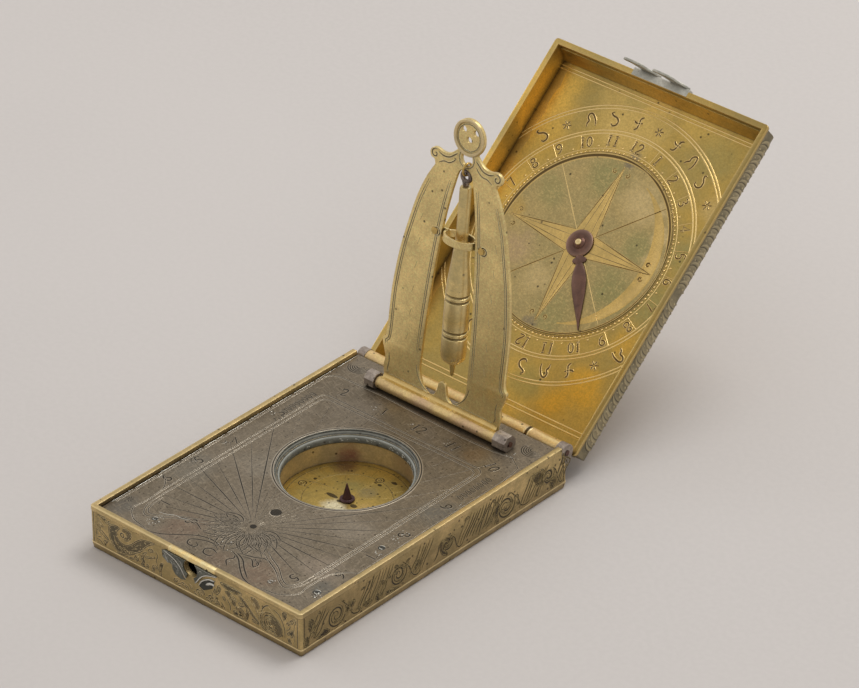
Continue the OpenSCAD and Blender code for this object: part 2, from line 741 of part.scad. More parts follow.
// turned body of the plummet, as shares of its greatest radius and of its height
bob_body = [[0, 0], [0.125, 0], [0.175, 0.0173], [0.3542, 0.1387], [0.4792, 0.1561],
            [0.5208, 0.1734], [0.7917, 0.1879], [0.95, 0.2254], [1, 0.2832], [1, 0.474],
            [0.9083, 0.4827], [0.9083, 0.5], [1, 0.5087], [1, 0.5376], [0.9083, 0.5462],
            [0.9083, 0.5636], [1, 0.5723], [1, 0.6936], [0.975, 0.9017], [0.8833, 0.9104],
            [0.8833, 0.9277], [0.975, 0.9364], [0.975, 0.9653], [0.8833, 0.974],
            [0.8833, 0.9913]];
// its cone, as shares of the way from neck to body and of the cone's height
bob_cone = [[0.92, 0], [0.8, 0.22], [0.56, 0.47], [0.344, 0.69], [0.184, 0.89], [0.048, 1]];

module plummet_bob() {
  body_top = bob_tip_h + bob_body_h;
  cone_top = keeper_h - keeper_band / 2 - keeper_t / 4;
  neck_foot = keeper_h + keeper_band / 2 + keeper_t / 2;
  color(gilt) in_plummet() rotate_extrude() polygon(concat(
    [for (q = bob_body) [q[0] * bob_r, bob_tip_h + q[1] * bob_body_h]],
    [for (q = bob_cone) [neck_r + q[0] * (bob_r - neck_r),
                         body_top + q[1] * (cone_top - body_top)]],
    [[neck_r, neck_foot], [neck_r - 0.05, bob_top_h - 0.5],
     [neck_r - 0.2, bob_top_h - 0.1], [neck_r / 2, bob_top_h], [0, bob_top_h]]));
}

case_floor();
case_walls();
plate_ledge(-1);  // plate_ledge_left
plate_ledge(1);  // plate_ledge_right
hour_plate();
well_lip();
compass_bowl();
glass_seat_ring();
compass_card();
needle_pivot();
frame_lug(lug_left_x - lug_left_w, lug_left_x);  // frame_lug_left
frame_lug(lug_right_x, lug_right_x + lug_right_w);  // frame_lug_right
frame_pin();
case_knuckle(-ear_in + knuckle_gap / 2, -knuckle_joint - knuckle_gap / 2);  // case_knuckle_left
case_knuckle(-knuckle_mid + knuckle_gap / 2, knuckle_mid - knuckle_gap / 2);  // case_knuckle_mid
case_knuckle(knuckle_joint + knuckle_gap / 2, ear_in - knuckle_gap / 2);  // case_knuckle_right
hinge_ear(-ear_out, -ear_in);  // hinge_ear_left
hinge_ear(ear_in, ear_out);  // hinge_ear_right
hinge_pin();
catch_leaf(-1);  // catch_leaf_left
catch_leaf(1);  // catch_leaf_right
lid_walls();
lid_cover();
dial_plate();
lid_edge_strip();
lid_knuckle(-knuckle_joint + knuckle_gap / 2, -knuckle_mid - knuckle_gap / 2);  // lid_knuckle_left
lid_knuckle(knuckle_mid + knuckle_gap / 2, knuckle_joint - knuckle_gap / 2);  // lid_knuckle_right
clasp_plate();
dial_arbor();
dial_disc();
pointer();
frame_barrel();
plummet_frame();
keeper_loop();
keeper_rivet(-1);  // keeper_rivet_left
keeper_rivet(1);  // keeper_rivet_right
plummet_link();
plummet_eye();
plummet_bob();
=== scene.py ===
"""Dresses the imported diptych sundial: chased gilt brass, a tarnished silver hour plate and a steel pointer.

Lengths in this file are millimetres unless a name says otherwise; MM turns them into Blender's metres.
"""

import logging
import random
import re
from dataclasses import dataclass, field
from enum import Enum
from functools import cache
from math import acos, asin, atan2, cos, degrees, dist, hypot, pi, radians, sin, sqrt
from typing import Iterable, Optional, Sequence

import bmesh
import bpy
from bpy.types import Material, Node, NodeSocket, NodeTree, Object
from mathutils import Matrix, Vector


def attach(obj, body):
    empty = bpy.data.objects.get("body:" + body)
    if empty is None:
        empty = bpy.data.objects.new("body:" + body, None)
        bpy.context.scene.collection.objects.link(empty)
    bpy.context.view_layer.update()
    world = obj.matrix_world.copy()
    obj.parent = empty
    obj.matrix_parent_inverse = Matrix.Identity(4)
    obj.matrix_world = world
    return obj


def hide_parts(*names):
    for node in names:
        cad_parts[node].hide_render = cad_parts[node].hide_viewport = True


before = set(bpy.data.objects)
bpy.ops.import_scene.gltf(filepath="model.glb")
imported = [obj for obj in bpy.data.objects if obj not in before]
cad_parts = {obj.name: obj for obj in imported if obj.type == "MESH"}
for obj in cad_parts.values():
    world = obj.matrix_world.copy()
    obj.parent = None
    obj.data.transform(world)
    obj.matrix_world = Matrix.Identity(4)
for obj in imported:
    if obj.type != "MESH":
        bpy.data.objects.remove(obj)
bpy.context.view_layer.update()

LOG = logging.getLogger("sundial")
logging.basicConfig(level=logging.INFO, format="%(message)s")

MM = 0.001
Point2 = tuple[float, float]
CUT = "cut"  # vertex attribute: 1 in the bottom of an engraved line, 0 on plain metal; it also carries painted shade on the case walls, the lid's right side and the disc's edge
WORN_AND_SHEEN = "worn"  # vertex attribute: 1 on a rubbed edge, and on painted highlights such as the bright lines along the front rim and the plate's edges and the pale arc on the disc


class Body(Enum):
    """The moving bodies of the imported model."""

    CASE = "case"
    LID = "lid"
    DISC = "disc"
    POINTER = "pointer"
    FRAME = "frame"
    LINK = "link"
    PLUMMET = "plummet"


class Slot(Enum):
    """The material slots of the part's record."""

    GILT = "gilt"
    PALE_GILT = "pale_gilt"
    SILVER = "silver"
    GREY = "grey_metal"
    STEEL = "steel"


class StrokeKind(Enum):
    """How an engraved or raised line is shaped across its width."""

    CUT = "cut"
    RIDGE = "ridge"


FURROW, RIDGE = StrokeKind.CUT, StrokeKind.RIDGE


@dataclass(frozen=True)
class Case:
    """Sizes of the case, as in the part's source."""

    half_w: float = 25.8
    half_d: float = 35.8
    height: float = 9.2
    wall: float = 1.1
    corner: float = 0.7
    rear_h: float = 5.4
    plate_z: float = 8.3
    well_y: float = 4.3
    well_r: float = 13.6
    hinge_y: float = 36.2
    hinge_z: float = 7.1
    lid_open: float = 139.7
    frame_x: float = 0.5
    frame_y: float = 28.5
    frame_z: float = 9.6
    frame_lean: float = 8.5


CASE = Case()
X, Y, Z = Vector((1, 0, 0)), Vector((0, 1, 0)), Vector((0, 0, 1))


# ---- working faces


@dataclass(frozen=True)
class WorkFace:
    """A flat face that is worked on: two directions in it and the height above it."""

    origin: Vector
    across: Vector
    along: Vector

    @property
    def normal(self) -> Vector:
        """Direction out of the face."""
        return self.across.cross(self.along)

    def at(self, x: float, y: float, h: float = 0.0) -> Vector:
        """Point at a distance across and along the face and a height above it."""
        return self.origin + self.across * x + self.along * y + self.normal * h


def tipped(angle: float) -> Matrix:
    """Rotation about the x direction by an angle in degrees."""
    return Matrix.Rotation(radians(angle), 4, "X")


def lid_turn() -> Matrix:
    """Rotation and shift that brings closed-lid coordinates to the open lid.

    Returns:
        The matrix in millimetres.
    """
    pivot = Vector((0, CASE.hinge_y, CASE.hinge_z))
    return Matrix.Translation(pivot) @ tipped(-CASE.lid_open) @ Matrix.Translation(-pivot)


LID = lid_turn()
LEAN = Matrix.Translation((CASE.frame_x, CASE.frame_y, CASE.frame_z)) @ tipped(-CASE.frame_lean)
DIAL_Y = CASE.hinge_y - 38
PIVOT_H = 49.2
HANG = LEAN @ Matrix.Translation((0, 0.85, PIVOT_H)) @ tipped(3) @ Matrix.Translation((0, 0, -PIVOT_H))


def lid_face(depth_z: float) -> WorkFace:
    """Face of the inside of the lid at a closed-lid height, from the centre of the dial, away from the hinge."""
    turn = LID.to_3x3()
    return WorkFace(LID @ Vector((0, DIAL_Y, depth_z)), X, turn @ -Y)


def leaf_face(offset: float) -> WorkFace:
    """Face of the plummet frame at a distance behind the axis of the barrel, up the leaf."""
    turn = LEAN.to_3x3()
    return WorkFace(LEAN @ Vector((0, offset, 0)), X, turn @ Z)


PANEL_IN = 0.1  # how far the chased wall panels lie behind the wall's arrises
PLATE = WorkFace(Vector((0, 0, CASE.plate_z)), X, Y)
FRONT = WorkFace(Vector((0, -CASE.half_d + PANEL_IN, 0)), X, Z)
RIGHT = WorkFace(Vector((CASE.half_w - PANEL_IN, 0, 0)), Y, Z)
LEFT = WorkFace(Vector((-CASE.half_w + PANEL_IN, 0, 0)), -Y, Z)
DIAL = lid_face(13.8)
DISC = lid_face(13.7)
LEAF = leaf_face(0.5)


# ---- meshes


class MeshMaker:
    """Collects points and faces in millimetres and makes one Blender object of them."""

    def __init__(self) -> None:
        """Starts empty."""
        self.points: list[Vector] = []
        self.faces: list[list[int]] = []
        self.cut: list[float] = []
        self.worn: list[float] = []

    def add(self, point: Vector, cut: float = 0.0, worn: float = 0.0) -> int:
        """Adds a point.

        Args:
            point: Its place.
            cut: Its value of the cut attribute.
            worn: Its value of the worn attribute.

        Returns:
            Its number.
        """
        self.points.append(point)
        self.cut.append(cut)
        self.worn.append(worn)
        return len(self.points) - 1

    def loft(self, loops: Sequence[Sequence[Vector]], closed: bool = True, caps: bool = False,
            cuts: Optional[Sequence[float]] = None, worns: Optional[Sequence[float]] = None) -> None:
        """Skins loops that have as many points each.

        Args:
            loops: The loops in order.
            closed: Whether each loop is a ring.
            caps: Whether the first and last loop are filled.
            cuts: One cut value for each loop.
            worns: One worn value for each loop.
        """
        rows = [[self.add(p, cuts[k] if cuts else 0, worns[k] if worns else 0) for p in loop] for k,
            loop in enumerate(loops)]
        self.bridge(rows, closed)
        if caps:
            self.faces.append(rows[0][::-1])
            self.faces.append(rows[-1])

    def bridge(self, rows: Sequence[Sequence[int]], closed: bool = True) -> None:
        """Joins rows of point numbers with faces.

        Args:
            rows: The rows, as long as each other.
            closed: Whether each row is a ring.
        """
        size = len(rows[0])
        for one, two in zip(rows, rows[1:]):
            for i in range(size if closed else size - 1):
                j = (i + 1) % size
                self.faces.append([one[i], one[j], two[j], two[i]])

    def absorb(self, other: "MeshMaker") -> None:
        """Takes over another mesh's points and faces.

        Args:
            other: The other mesh.
        """
        shift = len(self.points)
        self.points += other.points
        self.cut += other.cut
        self.worn += other.worn
        self.faces += [[i + shift for i in side] for side in other.faces]

    def object(self, name: str, smooth: bool = True, turn: Optional[Matrix] = None) -> Object:
        """Makes the Blender object.

        Args:
            name: The piece's name.
            smooth: Whether faces are shaded smooth.
            turn: Matrix in millimetres applied to every point.

        Returns:
            The linked object, in metres.
        """
        mesh = bpy.data.meshes.new(name)
        place = [(turn @ p if turn else p) * MM for p in self.points]
        mesh.from_pydata(place, [], self.faces)
        for label, values in ((CUT, self.cut), (WORN_AND_SHEEN, self.worn)):
            layer = mesh.attributes.new(label, "FLOAT", "POINT")
            layer.data.foreach_set("value", values)
        mesh.validate()
        mesh.shade_smooth() if smooth else mesh.shade_flat()
        return linked(name, mesh)

    def piece(self, name: str, body: Body, slot: Slot, finish: str, stands_for: Sequence[str] = (),
            joined: bool = False, sharp: float = 0.0) -> Object:
        """Makes the object and mounts it.

        Args:
            name: The piece's name.
            body: The body that it rides on.
            slot: The record's slot; not used.
            finish: Name of its finish.
            stands_for: CAD nodes that it replaces.
            joined: Whether points that coincide are joined.
            sharp: Turn in degrees from which an edge is sharp; 0 leaves the faces as they are.

        Returns:
            The object.
        """
        made = self.object(name)
        if joined:
            weld(made)
        if sharp:
            recalc(made, sharp)
        return mount(made, body, finish, stands_for)


def weld(piece: Object) -> None:
    """Joins points that coincide and turns faces outward.

    Args:
        piece: The mesh object.
    """
    work = bmesh.new()
    work.from_mesh(piece.data)
    bmesh.ops.remove_doubles(work, verts=work.verts, dist=1e-7)
    bmesh.ops.recalc_face_normals(work, faces=work.faces)
    work.to_mesh(piece.data)
    work.free()


def linked(name: str, data: bpy.types.ID) -> Object:
    """Makes an object in the scene.

    Args:
        name: Its name.
        data: Its mesh, curve, camera or light.

    Returns:
        The object.
    """
    made = bpy.data.objects.new(name, data)
    bpy.context.scene.collection.objects.link(made)
    return made


def recalc(piece: Object, angle: Optional[float] = None) -> None:
    """Turns the faces outward and marks sharp edges.

    Args:
        piece: The object.
        angle: Edges that turn by more than this many degrees are sharp.
    """
    work = bmesh.new()
    work.from_mesh(piece.data)
    bmesh.ops.recalc_face_normals(work, faces=work.faces)
    if angle is not None:
        for edge in work.edges:
            if len(edge.link_faces) == 2 and edge.calc_face_angle(0) > radians(angle):
                edge.smooth = False
    work.to_mesh(piece.data)
    work.free()


def settle(piece: Object) -> Object:
    """Replaces an object with its final mesh, modifiers and curve settings included.

    Args:
        piece: A mesh or curve object.

    Returns:
        The mesh object of the same name.
    """
    graph = bpy.context.evaluated_depsgraph_get()
    graph.update()
    mesh = bpy.data.meshes.new_from_object(piece.evaluated_get(graph))
    name, place = piece.name, piece.matrix_world.copy()
    bpy.data.objects.remove(piece)
    made = linked(name, mesh)
    mesh.name = name
    made.matrix_world = place
    return made


def carve(piece: Object, tools: Iterable[Object]) -> Object:
    """Cuts tools out of a piece and removes the tools.

    Args:
        piece: The object that is cut.
        tools: The cutting objects.

    Returns:
        The cut object.
    """
    tools = list(tools)
    for tool in tools:
        change = piece.modifiers.new("carve", "BOOLEAN")
        change.operation, change.object, change.solver = "DIFFERENCE", tool, "EXACT"
    made = settle(piece)
    for tool in tools:
        bpy.data.objects.remove(tool)
    return made


def sheet_piece(name: str, rings: Sequence[Sequence[Point2]], thick: float, edge: float, place: Matrix) -> Object:
    """Cuts a piece from sheet, with its arrises rounded over.

    Args:
        name: The piece's name.
        rings: The outline and the holes in it.
        thick: Thickness of the sheet.
        edge: Radius of the arrises.
        place: Matrix in millimetres from (x, y, middle of the sheet) to the part's frame.

    Returns:
        The mesh object.
    """
    curve = bpy.data.curves.new(name, "CURVE")
    curve.dimensions, curve.fill_mode = "2D", "BOTH"
    curve.extrude, curve.bevel_depth = (thick / 2 - edge) * MM, edge * MM
    curve.bevel_resolution, curve.offset = 3, -edge * MM
    for ring in rings:
        line = curve.splines.new("POLY")
        line.points.add(len(ring) - 1)
        for spot, (x, y) in zip(line.points, ring):
            spot.co = (x * MM, y * MM, 0, 1)
        line.use_cyclic_u = True
    made = settle(linked(name, curve))
    move = place.copy()
    move.translation = move.translation * MM
    made.data.transform(move)
    work = bmesh.new()
    work.from_mesh(made.data)
    bmesh.ops.remove_doubles(work, verts=work.verts, dist=1e-6)
    bmesh.ops.recalc_face_normals(work, faces=work.faces)
    for edge_line in work.edges:
        if len(edge_line.link_faces) == 2 and edge_line.calc_face_angle(0) > radians(40):
            edge_line.smooth = False
    for side in work.faces:
        side.smooth = True
    work.to_mesh(made.data)
    work.free()
    return made


def path(text: str) -> tuple[Point2, ...]:
    """Points from a text such as "0,1 2.5,3"."""
    return tuple(tuple(map(float, pair.split(","))) for pair in text.split())


def outlines(text: str) -> list[tuple[tuple[Point2, ...], float]]:
    """Reads a table of outlines, each a value, a colon and the points.

    Args:
        text: The table.

    Returns:
        The points and the value of each.
    """
    parts = re.split(r"([\d.]+):", text)[1:]
    return [(path(points), float(value)) for value, points in zip(parts[::2], parts[1::2])]


def smooth_line(points: Sequence[Point2], steps: int = 4, ring: bool = False) -> list[Point2]:
    """Draws a rounded line through given points.

    Args:
        points: The points that it passes.
        steps: Points made for each span.
        ring: Whether the line closes on itself.

    Returns:
        The finer line.
    """
    count = len(points)
    out: list[Point2] = []
    for i in range(count if ring else count - 1):
        p0 = points[(i - 1) % count] if ring or i > 0 else points[i]
        p1, p2 = points[i], points[(i + 1) % count]
        p3 = points[(i + 2) % count] if ring or i + 2 < count else p2
        for k in range(steps):
            t = k / steps
            out.append(tuple(0.5 * (2 * b + (c - a) * t + (2 * a - 5 * b + 4 * c - d) * t * t
                + (3 * b - a - 3 * c + d) * t ** 3) for a, b, c, d in zip(p0, p1, p2, p3)))
    if not ring:
        out.append(points[-1])
    return out


def polar(r: float, a: float, cx: float = 0.0, cy: float = 0.0) -> Point2:
    """Point at a distance and an angle from a centre."""
    return cx + r * cos(a), cy + r * sin(a)


def circle(cx: float, cy: float, r: float, steps: int = 48) -> list[Point2]:
    """Points round a circle, without a repeat of the first."""
    return [polar(r, 2 * pi * i / steps, cx, cy) for i in range(steps)]


def inside(ring: Sequence[Point2], x: float, y: float) -> bool:
    """Whether a point lies in a ring.

    Args:
        ring: The ring's points.
        x: The point across.
        y: The point along.

    Returns:
        True when it lies inside.
    """
    hit = False
    for (ax, ay), (bx, by) in zip(ring, [*ring[1:], ring[0]]):
        if (ay > y) != (by > y) and x < ax + (bx - ax) * (y - ay) / (by - ay):
            hit = not hit
    return hit


# ---- engraving


DIGITS: dict[str, Sequence[Point2]] = {
    "0": path("0.28,0 0.08,0.2 0.04,0.5 0.08,0.8 0.28,1 0.48,0.8 0.52,0.5 0.48,0.2 0.28,0"),
    "1": path("0.12,0.97 0.3,1 0.48,0.97 0.3,0.98 0.3,0.02 0.12,0.03 0.48,0.03"),
    "2": path("0.05,0.75 0.12,0.93 0.3,1 0.48,0.93 0.53,0.74 0.42,0.5 0.05,0.02 0.56,0.02"),
    "3": path("0.06,0.93 0.28,1 0.48,0.9 0.48,0.68 0.25,0.55 0.5,0.42 0.53,0.2 0.35,0.02 0.05,0.06"),
    "4": path("0.42,0 0.42,1 0.03,0.3 0.58,0.3"),
    "5": path("0.5,1 0.12,1 0.08,0.56 0.3,0.62 0.5,0.5 0.54,0.25 0.38,0.03 0.06,0.06"),
    "6": path("0.48,0.98 0.2,0.8 0.06,0.45 0.08,0.15 0.28,0 0.5,0.12 0.52,0.36 0.32,0.52 0.1,0.4"),
    "7": path("0.04,0.98 0.54,0.98 0.22,0"),
    "8": path("0.28,0.54 0.1,0.72 0.12,0.92 0.3,1 0.48,0.9 0.48,0.7 0.28,0.54 0.06,0.34 0.06,0.12 0.28,0 0.52,0.12 "
        "0.52,0.34 0.28,0.54"),
    "9": path("0.08,0.04 0.36,0.2 0.52,0.55 0.5,0.86 0.3,1 0.08,0.88 0.06,0.64 0.26,0.48 0.48,0.6"),
}


class Engraver:
    """Works lines into a face: each is a shallow valley between two burrs, or a rounded ridge."""

    def __init__(self, face: WorkFace, burr: float = 0.03, lip: float = 0.4, bright: float = 0.3,
            gain: float = 1.0) -> None:
        """Starts on a face.

        Args:
            face: The face that is worked on.
            burr: Height of the burrs above it.
            lip: Width of a burr as a share of the line's width.
            bright: How far the burrs of a cut line are made bright, as rubbing and as a painted highlight on their
                lips.
            gain: Factor on every line's width.
        """
        self.face, self.burr, self.lip, self.bright, self.gain = face, burr, lip, bright, gain
        self.maker = MeshMaker()

    def line(self, points: Sequence[Point2], width: float, kind: StrokeKind = FURROW, taper: float = 0.35,
            ring: bool = False, lift: float = 0.0) -> None:
        """Works one line.

        Args:
            points: Its course.
            width: Its width.
            kind: Its shape across.
            taper: Share of its width that is left at its ends.
            ring: Whether it closes on itself.
            lift: Height of the line's foot above the face.
        """
        course: list[Point2] = []
        for p in points:
            if not course or dist(course[-1], p) > 1e-4:
                course.append(p)
        count = len(course)
        if count < 2:
            return
        loops: list[list[Vector]] = []
        for i, (x, y) in enumerate(course):
            before = course[(i - 1) % count] if ring or i > 0 else course[i]
            after = course[(i + 1) % count] if ring or i + 1 < count else course[i]
            dx, dy = after[0] - before[0], after[1] - before[1]
            size = hypot(dx, dy) or 1
            nx, ny = -dy / size, dx / size
            end = min(i, count - 1 - i) / max(1, (count - 1) * 0.18) if not ring else 1
            half = self.gain * width / 2 * (taper + (1 - taper) * min(1, end))
            loops.append([self.face.at(x + nx * o * half, y + ny * o * half, lift + h) for o,
                h in self._section(kind)])
        if ring:
            loops.append(loops[0])
        cuts = self._cuts(kind)
        # burrs and ridges are made bright: rubbing, and a painted highlight on their lips
        rubs_and_sheen = [0, 1, 1, 0] if kind is RIDGE else [0, self.bright, self.bright, 0, 0, self.bright, self.bright, 0]
        rows = [[self.maker.add(p, c, q) for p, c, q in zip(row, cuts, rubs_and_sheen)] for row in loops]
        for one, two in zip(rows, rows[1:]):
            for k in range(len(one) - 1):
                self.maker.faces.append([one[k], two[k], two[k + 1], one[k + 1]])

    def curve(self, points: Sequence[Point2], width: float, kind: StrokeKind = FURROW, steps: int = 5,
            side: int = 1) -> None:
        """Works a rounded line through given points; a side of -1 mirrors it."""
        self.line([(side * x, y) for x, y in smooth_line(points, steps)], width, kind)

    def _section(self, kind: StrokeKind) -> list[Point2]:
        """Offsets, as shares of the half width, and heights across a line.

        Args:
            kind: The shape.

        Returns:
            The pairs, from one edge to the other.
        """
        if kind is RIDGE:
            return [(-1, -0.004), (-0.45, self.burr), (0.45, self.burr), (1, -0.004)]
        edge = 1 + self.lip
        return [(-edge - 0.25, -0.004), (-edge, self.burr * 0.7), (-1, self.burr), (-0.8, 0.006), (0.8, 0.006),
            (1, self.burr), (edge, self.burr * 0.7), (edge + 0.25, -0.004)]

    def _cuts(self, kind: StrokeKind) -> list[float]:
        """Cut values across a line."""
        return [0] * 4 if kind is RIDGE else [0, 0, 0.3, 1, 1, 0.3, 0, 0]

    def patch(self, ring: Sequence[Point2], cut: float = 0.6, lift: float = 0.003, worn: float = 0.0) -> None:
        """Darkens or brightens an area of the ground as matting or rubbing does.

        Args:
            ring: Its outline.
            cut: How dark it is.
            lift: Height over the face.
            worn: How rubbed it is.
        """
        self.maker.faces.append([self.maker.add(self.face.at(x, y, lift), cut, worn) for x, y in ring])

    def fade(self, one: Sequence[Point2], two: Sequence[Point2], cuts: tuple[float, float]) -> None:
        """Darkens the ground between two lines, from one value to another."""
        self.maker.loft([[self.face.at(x, y, 0.003) for x, y in line] for line in (one, two)], closed=False,
            cuts=cuts)

    def stipple(self, ring: Sequence[Point2], count: int, seed: int, size: float = 0.16) -> None:
        """Leaves small bright grains standing in an area.

        Args:
            ring: The area's outline.
            count: How many places are tried.
            seed: Seed of their places.
            size: Size of a grain.
        """
        rng = random.Random(seed)
        xs, ys = [p[0] for p in ring], [p[1] for p in ring]
        for _ in range(count):
            x, y = rng.uniform(min(xs), max(xs)), rng.uniform(min(ys), max(ys))
            if not inside(ring, x, y):
                continue
            a, r = rng.uniform(0, 6.28), size * rng.uniform(0.5, 1)
            base = [self.maker.add(self.face.at(x + r * q * cos(a + b), y + r * 0.6 * q * sin(a + b), 0.004), 0.1,
                0.6) for b, q in path("0,1.3 1.6,0.8 3.1,1.2 4.7,0.8")]
            top = self.maker.add(self.face.at(x, y, 0.04), 0, 1)
            for i in range(4):
                self.maker.faces.append([base[i], base[(i + 1) % 4], top])

    def circle(self, cx: float, cy: float, r: float, width: float, kind: StrokeKind = FURROW,
            steps: int = 0) -> None:
        """Works a full circle."""
        self.line(circle(cx, cy, r, steps or max(12, int(r * 7))), width, kind, ring=True)

    def arc(self, cx: float, cy: float, r: float, a1: float, a2: float, width: float,
            kind: StrokeKind = FURROW) -> None:
        """Works an arc between two angles in degrees."""
        steps = max(6, int(abs(a2 - a1) / 3))
        self.line([polar(r, radians(a1 + (a2 - a1) * i / steps), cx, cy) for i in range(steps + 1)], width, kind)

    def spiral(self, cx: float, cy: float, r: float, start: float, turns: float, width: float,
            kind: StrokeKind = FURROW, inner: float = 0.12) -> None:
        """Works a volute from its outer end inwards.

        Args:
            cx: Centre across.
            cy: Centre along.
            r: Outer radius.
            start: Angle of the outer end in degrees.
            turns: Turns, negative for clockwise.
            width: Line width.
            kind: Line shape.
            inner: Inner radius as a share of the outer.
        """
        steps = max(10, int(abs(turns) * 20))
        course = []
        for i in range(steps + 1):
            t = i / steps
            a, q = radians(start + 360 * turns * t), r * ((1 - t) ** 0.85 * (1 - inner) + inner)
            course.append(polar(q, a, cx, cy))
        self.line(course, width, kind)

    def number(self, text: str, cx: float, cy: float, height: float, turn: float, width: float,
            kind: StrokeKind = FURROW) -> None:
        """Works a number about its middle.

        Args:
            text: Its figures.
            cx: Middle across.
            cy: Middle along.
            height: Height of the figures.
            turn: Angle of its baseline in degrees.
            width: Line width.
            kind: Line shape.
        """
        step, size = 0.72, len(text)
        c, s = cos(radians(turn)), sin(radians(turn))
        for k, figure in enumerate(text):
            shift = (k - (size - 1) / 2) * step - 0.28
            course = []
            raw = DIGITS[figure]
            for x, y in (smooth_line(raw, 3) if figure in "0235689" else raw):
                u, v = (x + shift) * height, (y - 0.5) * height
                course.append((cx + u * c - v * s, cy + u * s + v * c))
            self.line(course, width, kind, taper=0.8)

    def star(self, cx: float, cy: float, r: float, points: int, width: float) -> None:
        """Works a small star of short strokes.

        Args:
            cx: Centre across.
            cy: Centre along.
            r: Radius.
            points: Number of strokes.
            width: Line width.
        """
        for k in range(points):
            a = 2 * pi * k / points + 0.3
            self.line([polar(0.22 * r, a, cx, cy), polar(r, a, cx, cy)], width, FURROW, taper=0.7)

    def leaf(self, cx: float, cy: float, size: float, turn: float, bend: float, width: float) -> None:
        """Works a small curled leaf: two bowed edges and a vein.

        Args:
            cx: Root across.
            cy: Root along.
            size: Length.
            turn: Direction in degrees.
            bend: Curl, positive to the left.
            width: Line width.
        """
        for side in (-1, 0, 1):
            course = []
            for i in range(9):
                t = i / 8
                a = radians(turn + bend * t)
                bow = side * 0.24 * size * sin(pi * t ** 0.8)
                course.append((cx + size * t * cos(a) - bow * sin(a), cy + size * t * sin(a) + bow * cos(a)))
            self.line(course[:7] if side == 0 else course, width * (0.7 if side == 0 else 1))

    def piece(self, name: str, body: Body, slot: Slot, finish: str) -> Object:
        """Finishes the work as one object riding on a body."""
        return mount(self.maker.object(name), body, finish)


def mount(piece: Object, body: Body, finish: str, stands_for: Sequence[str] = ()) -> Object:
    """Gives a piece its finish and its body.

    Args:
        piece: The object.
        body: The body that it rides on.
        finish: Name of its finish.
        stands_for: CAD nodes that it replaces.

    Returns:
        The same object.
    """
    piece.data.materials.clear()
    piece.data.materials.append(metal_of(finish))
    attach(piece, body.value)
    if stands_for:
        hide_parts(*stands_for)
    LOG.info("%s: %d faces on %s", piece.name, len(piece.data.polygons), body.value)
    return piece


# ---- finishes


class Wiring:
    """Short ways to add and join nodes in one tree."""

    def __init__(self, tree: NodeTree) -> None:
        """Works in a tree."""
        self.tree = tree

    def node(self, kind: str, links: Optional[dict[object, object]] = None, **settings: object) -> Node:
        """Adds a node.

        Args:
            kind: Its type name.
            links: Its inputs by name or number: sockets are linked, other values are set.
            settings: Attributes of the node.

        Returns:
            The node.
        """
        made = self.tree.nodes.new(kind)
        for key, value in settings.items():
            setattr(made, key, value)
        for key, value in (links or {}).items():
            if isinstance(value, NodeSocket):
                self.tree.links.new(value, made.inputs[key])
            else:
                made.inputs[key].default_value = value
        return made

    def place(self) -> NodeSocket:
        """Object coordinates."""
        return self.node("ShaderNodeTexCoord").outputs["Object"]

    def noise(self, place: NodeSocket, dimensions: str = "3D", **inputs: object) -> NodeSocket:
        """Adds a noise texture and gives its height."""
        return self.node("ShaderNodeTexNoise", {"Vector": place, **inputs}, noise_dimensions=dimensions).outputs[0]

    def group(self, tree: NodeTree, **inputs: object) -> Node:
        """Adds a node group with values for its inputs."""
        return self.node("ShaderNodeGroup", inputs, node_tree=tree)

    def math(self, operation: str, one: object, two: object = 0.0, clamp: bool = False) -> NodeSocket:
        """Adds a Math node and gives its result."""
        return self.node("ShaderNodeMath", {0: one, 1: two}, operation=operation, use_clamp=clamp).outputs[0]

    def join(self, source: NodeSocket, target: NodeSocket) -> None:
        """Links two sockets."""
        self.tree.links.new(source, target)

    def span(self, value: object, low: object, high: object, to_low: float = 0.0,
            to_high: float = 1.0) -> NodeSocket:
        """Maps a value from one range to another, smoothly and clamped."""
        made = self.node("ShaderNodeMapRange", {"Value": value, "From Min": low, "From Max": high,
            "To Min": to_low, "To Max": to_high}, interpolation_type="SMOOTHSTEP")
        return made.outputs["Result"]

    def blend(self, share: object, one: object, two: object) -> NodeSocket:
        """Mixes two colours by a mask.

        Args:
            share: The mask.
            one: Colour where it is 0.
            two: Colour where it is 1.

        Returns:
            The mixed colour.
        """
        made = self.node("ShaderNodeMix", {0: share}, data_type="RGBA")
        for slot, colour in ((6, one), (7, two)):
            if isinstance(colour, NodeSocket):
                self.tree.links.new(colour, made.inputs[slot])
            else:
                made.inputs[slot].default_value = (*colour, 1)
        return made.outputs[2]


def new_group(name: str, inputs: dict[str, object], outputs: Sequence[str]) -> tuple[Wiring,
        bpy.types.NodeOutputs, bpy.types.NodeInputs]:
    """Starts a shader node group with named sockets.

    Args:
        name: The group's name.
        inputs: Default of each input by name: a number or a place.
        outputs: Names of the outputs; one called Normal is a direction.

    Returns:
        The wiring, the sockets to take from and the sockets to give to.
    """
    tree = bpy.data.node_groups.new(name, "ShaderNodeTree")
    for label, value in inputs.items():
        kind = "NodeSocketVector" if isinstance(value, tuple) else "NodeSocketFloat"
        tree.interface.new_socket(label, in_out="INPUT", socket_type=kind).default_value = value
    for label in outputs:
        kind = "NodeSocketVector" if label == "Normal" else "NodeSocketFloat"
        tree.interface.new_socket(label, in_out="OUTPUT", socket_type=kind)
    return Wiring(tree), tree.nodes.new("NodeGroupInput").outputs, tree.nodes.new("NodeGroupOutput").inputs


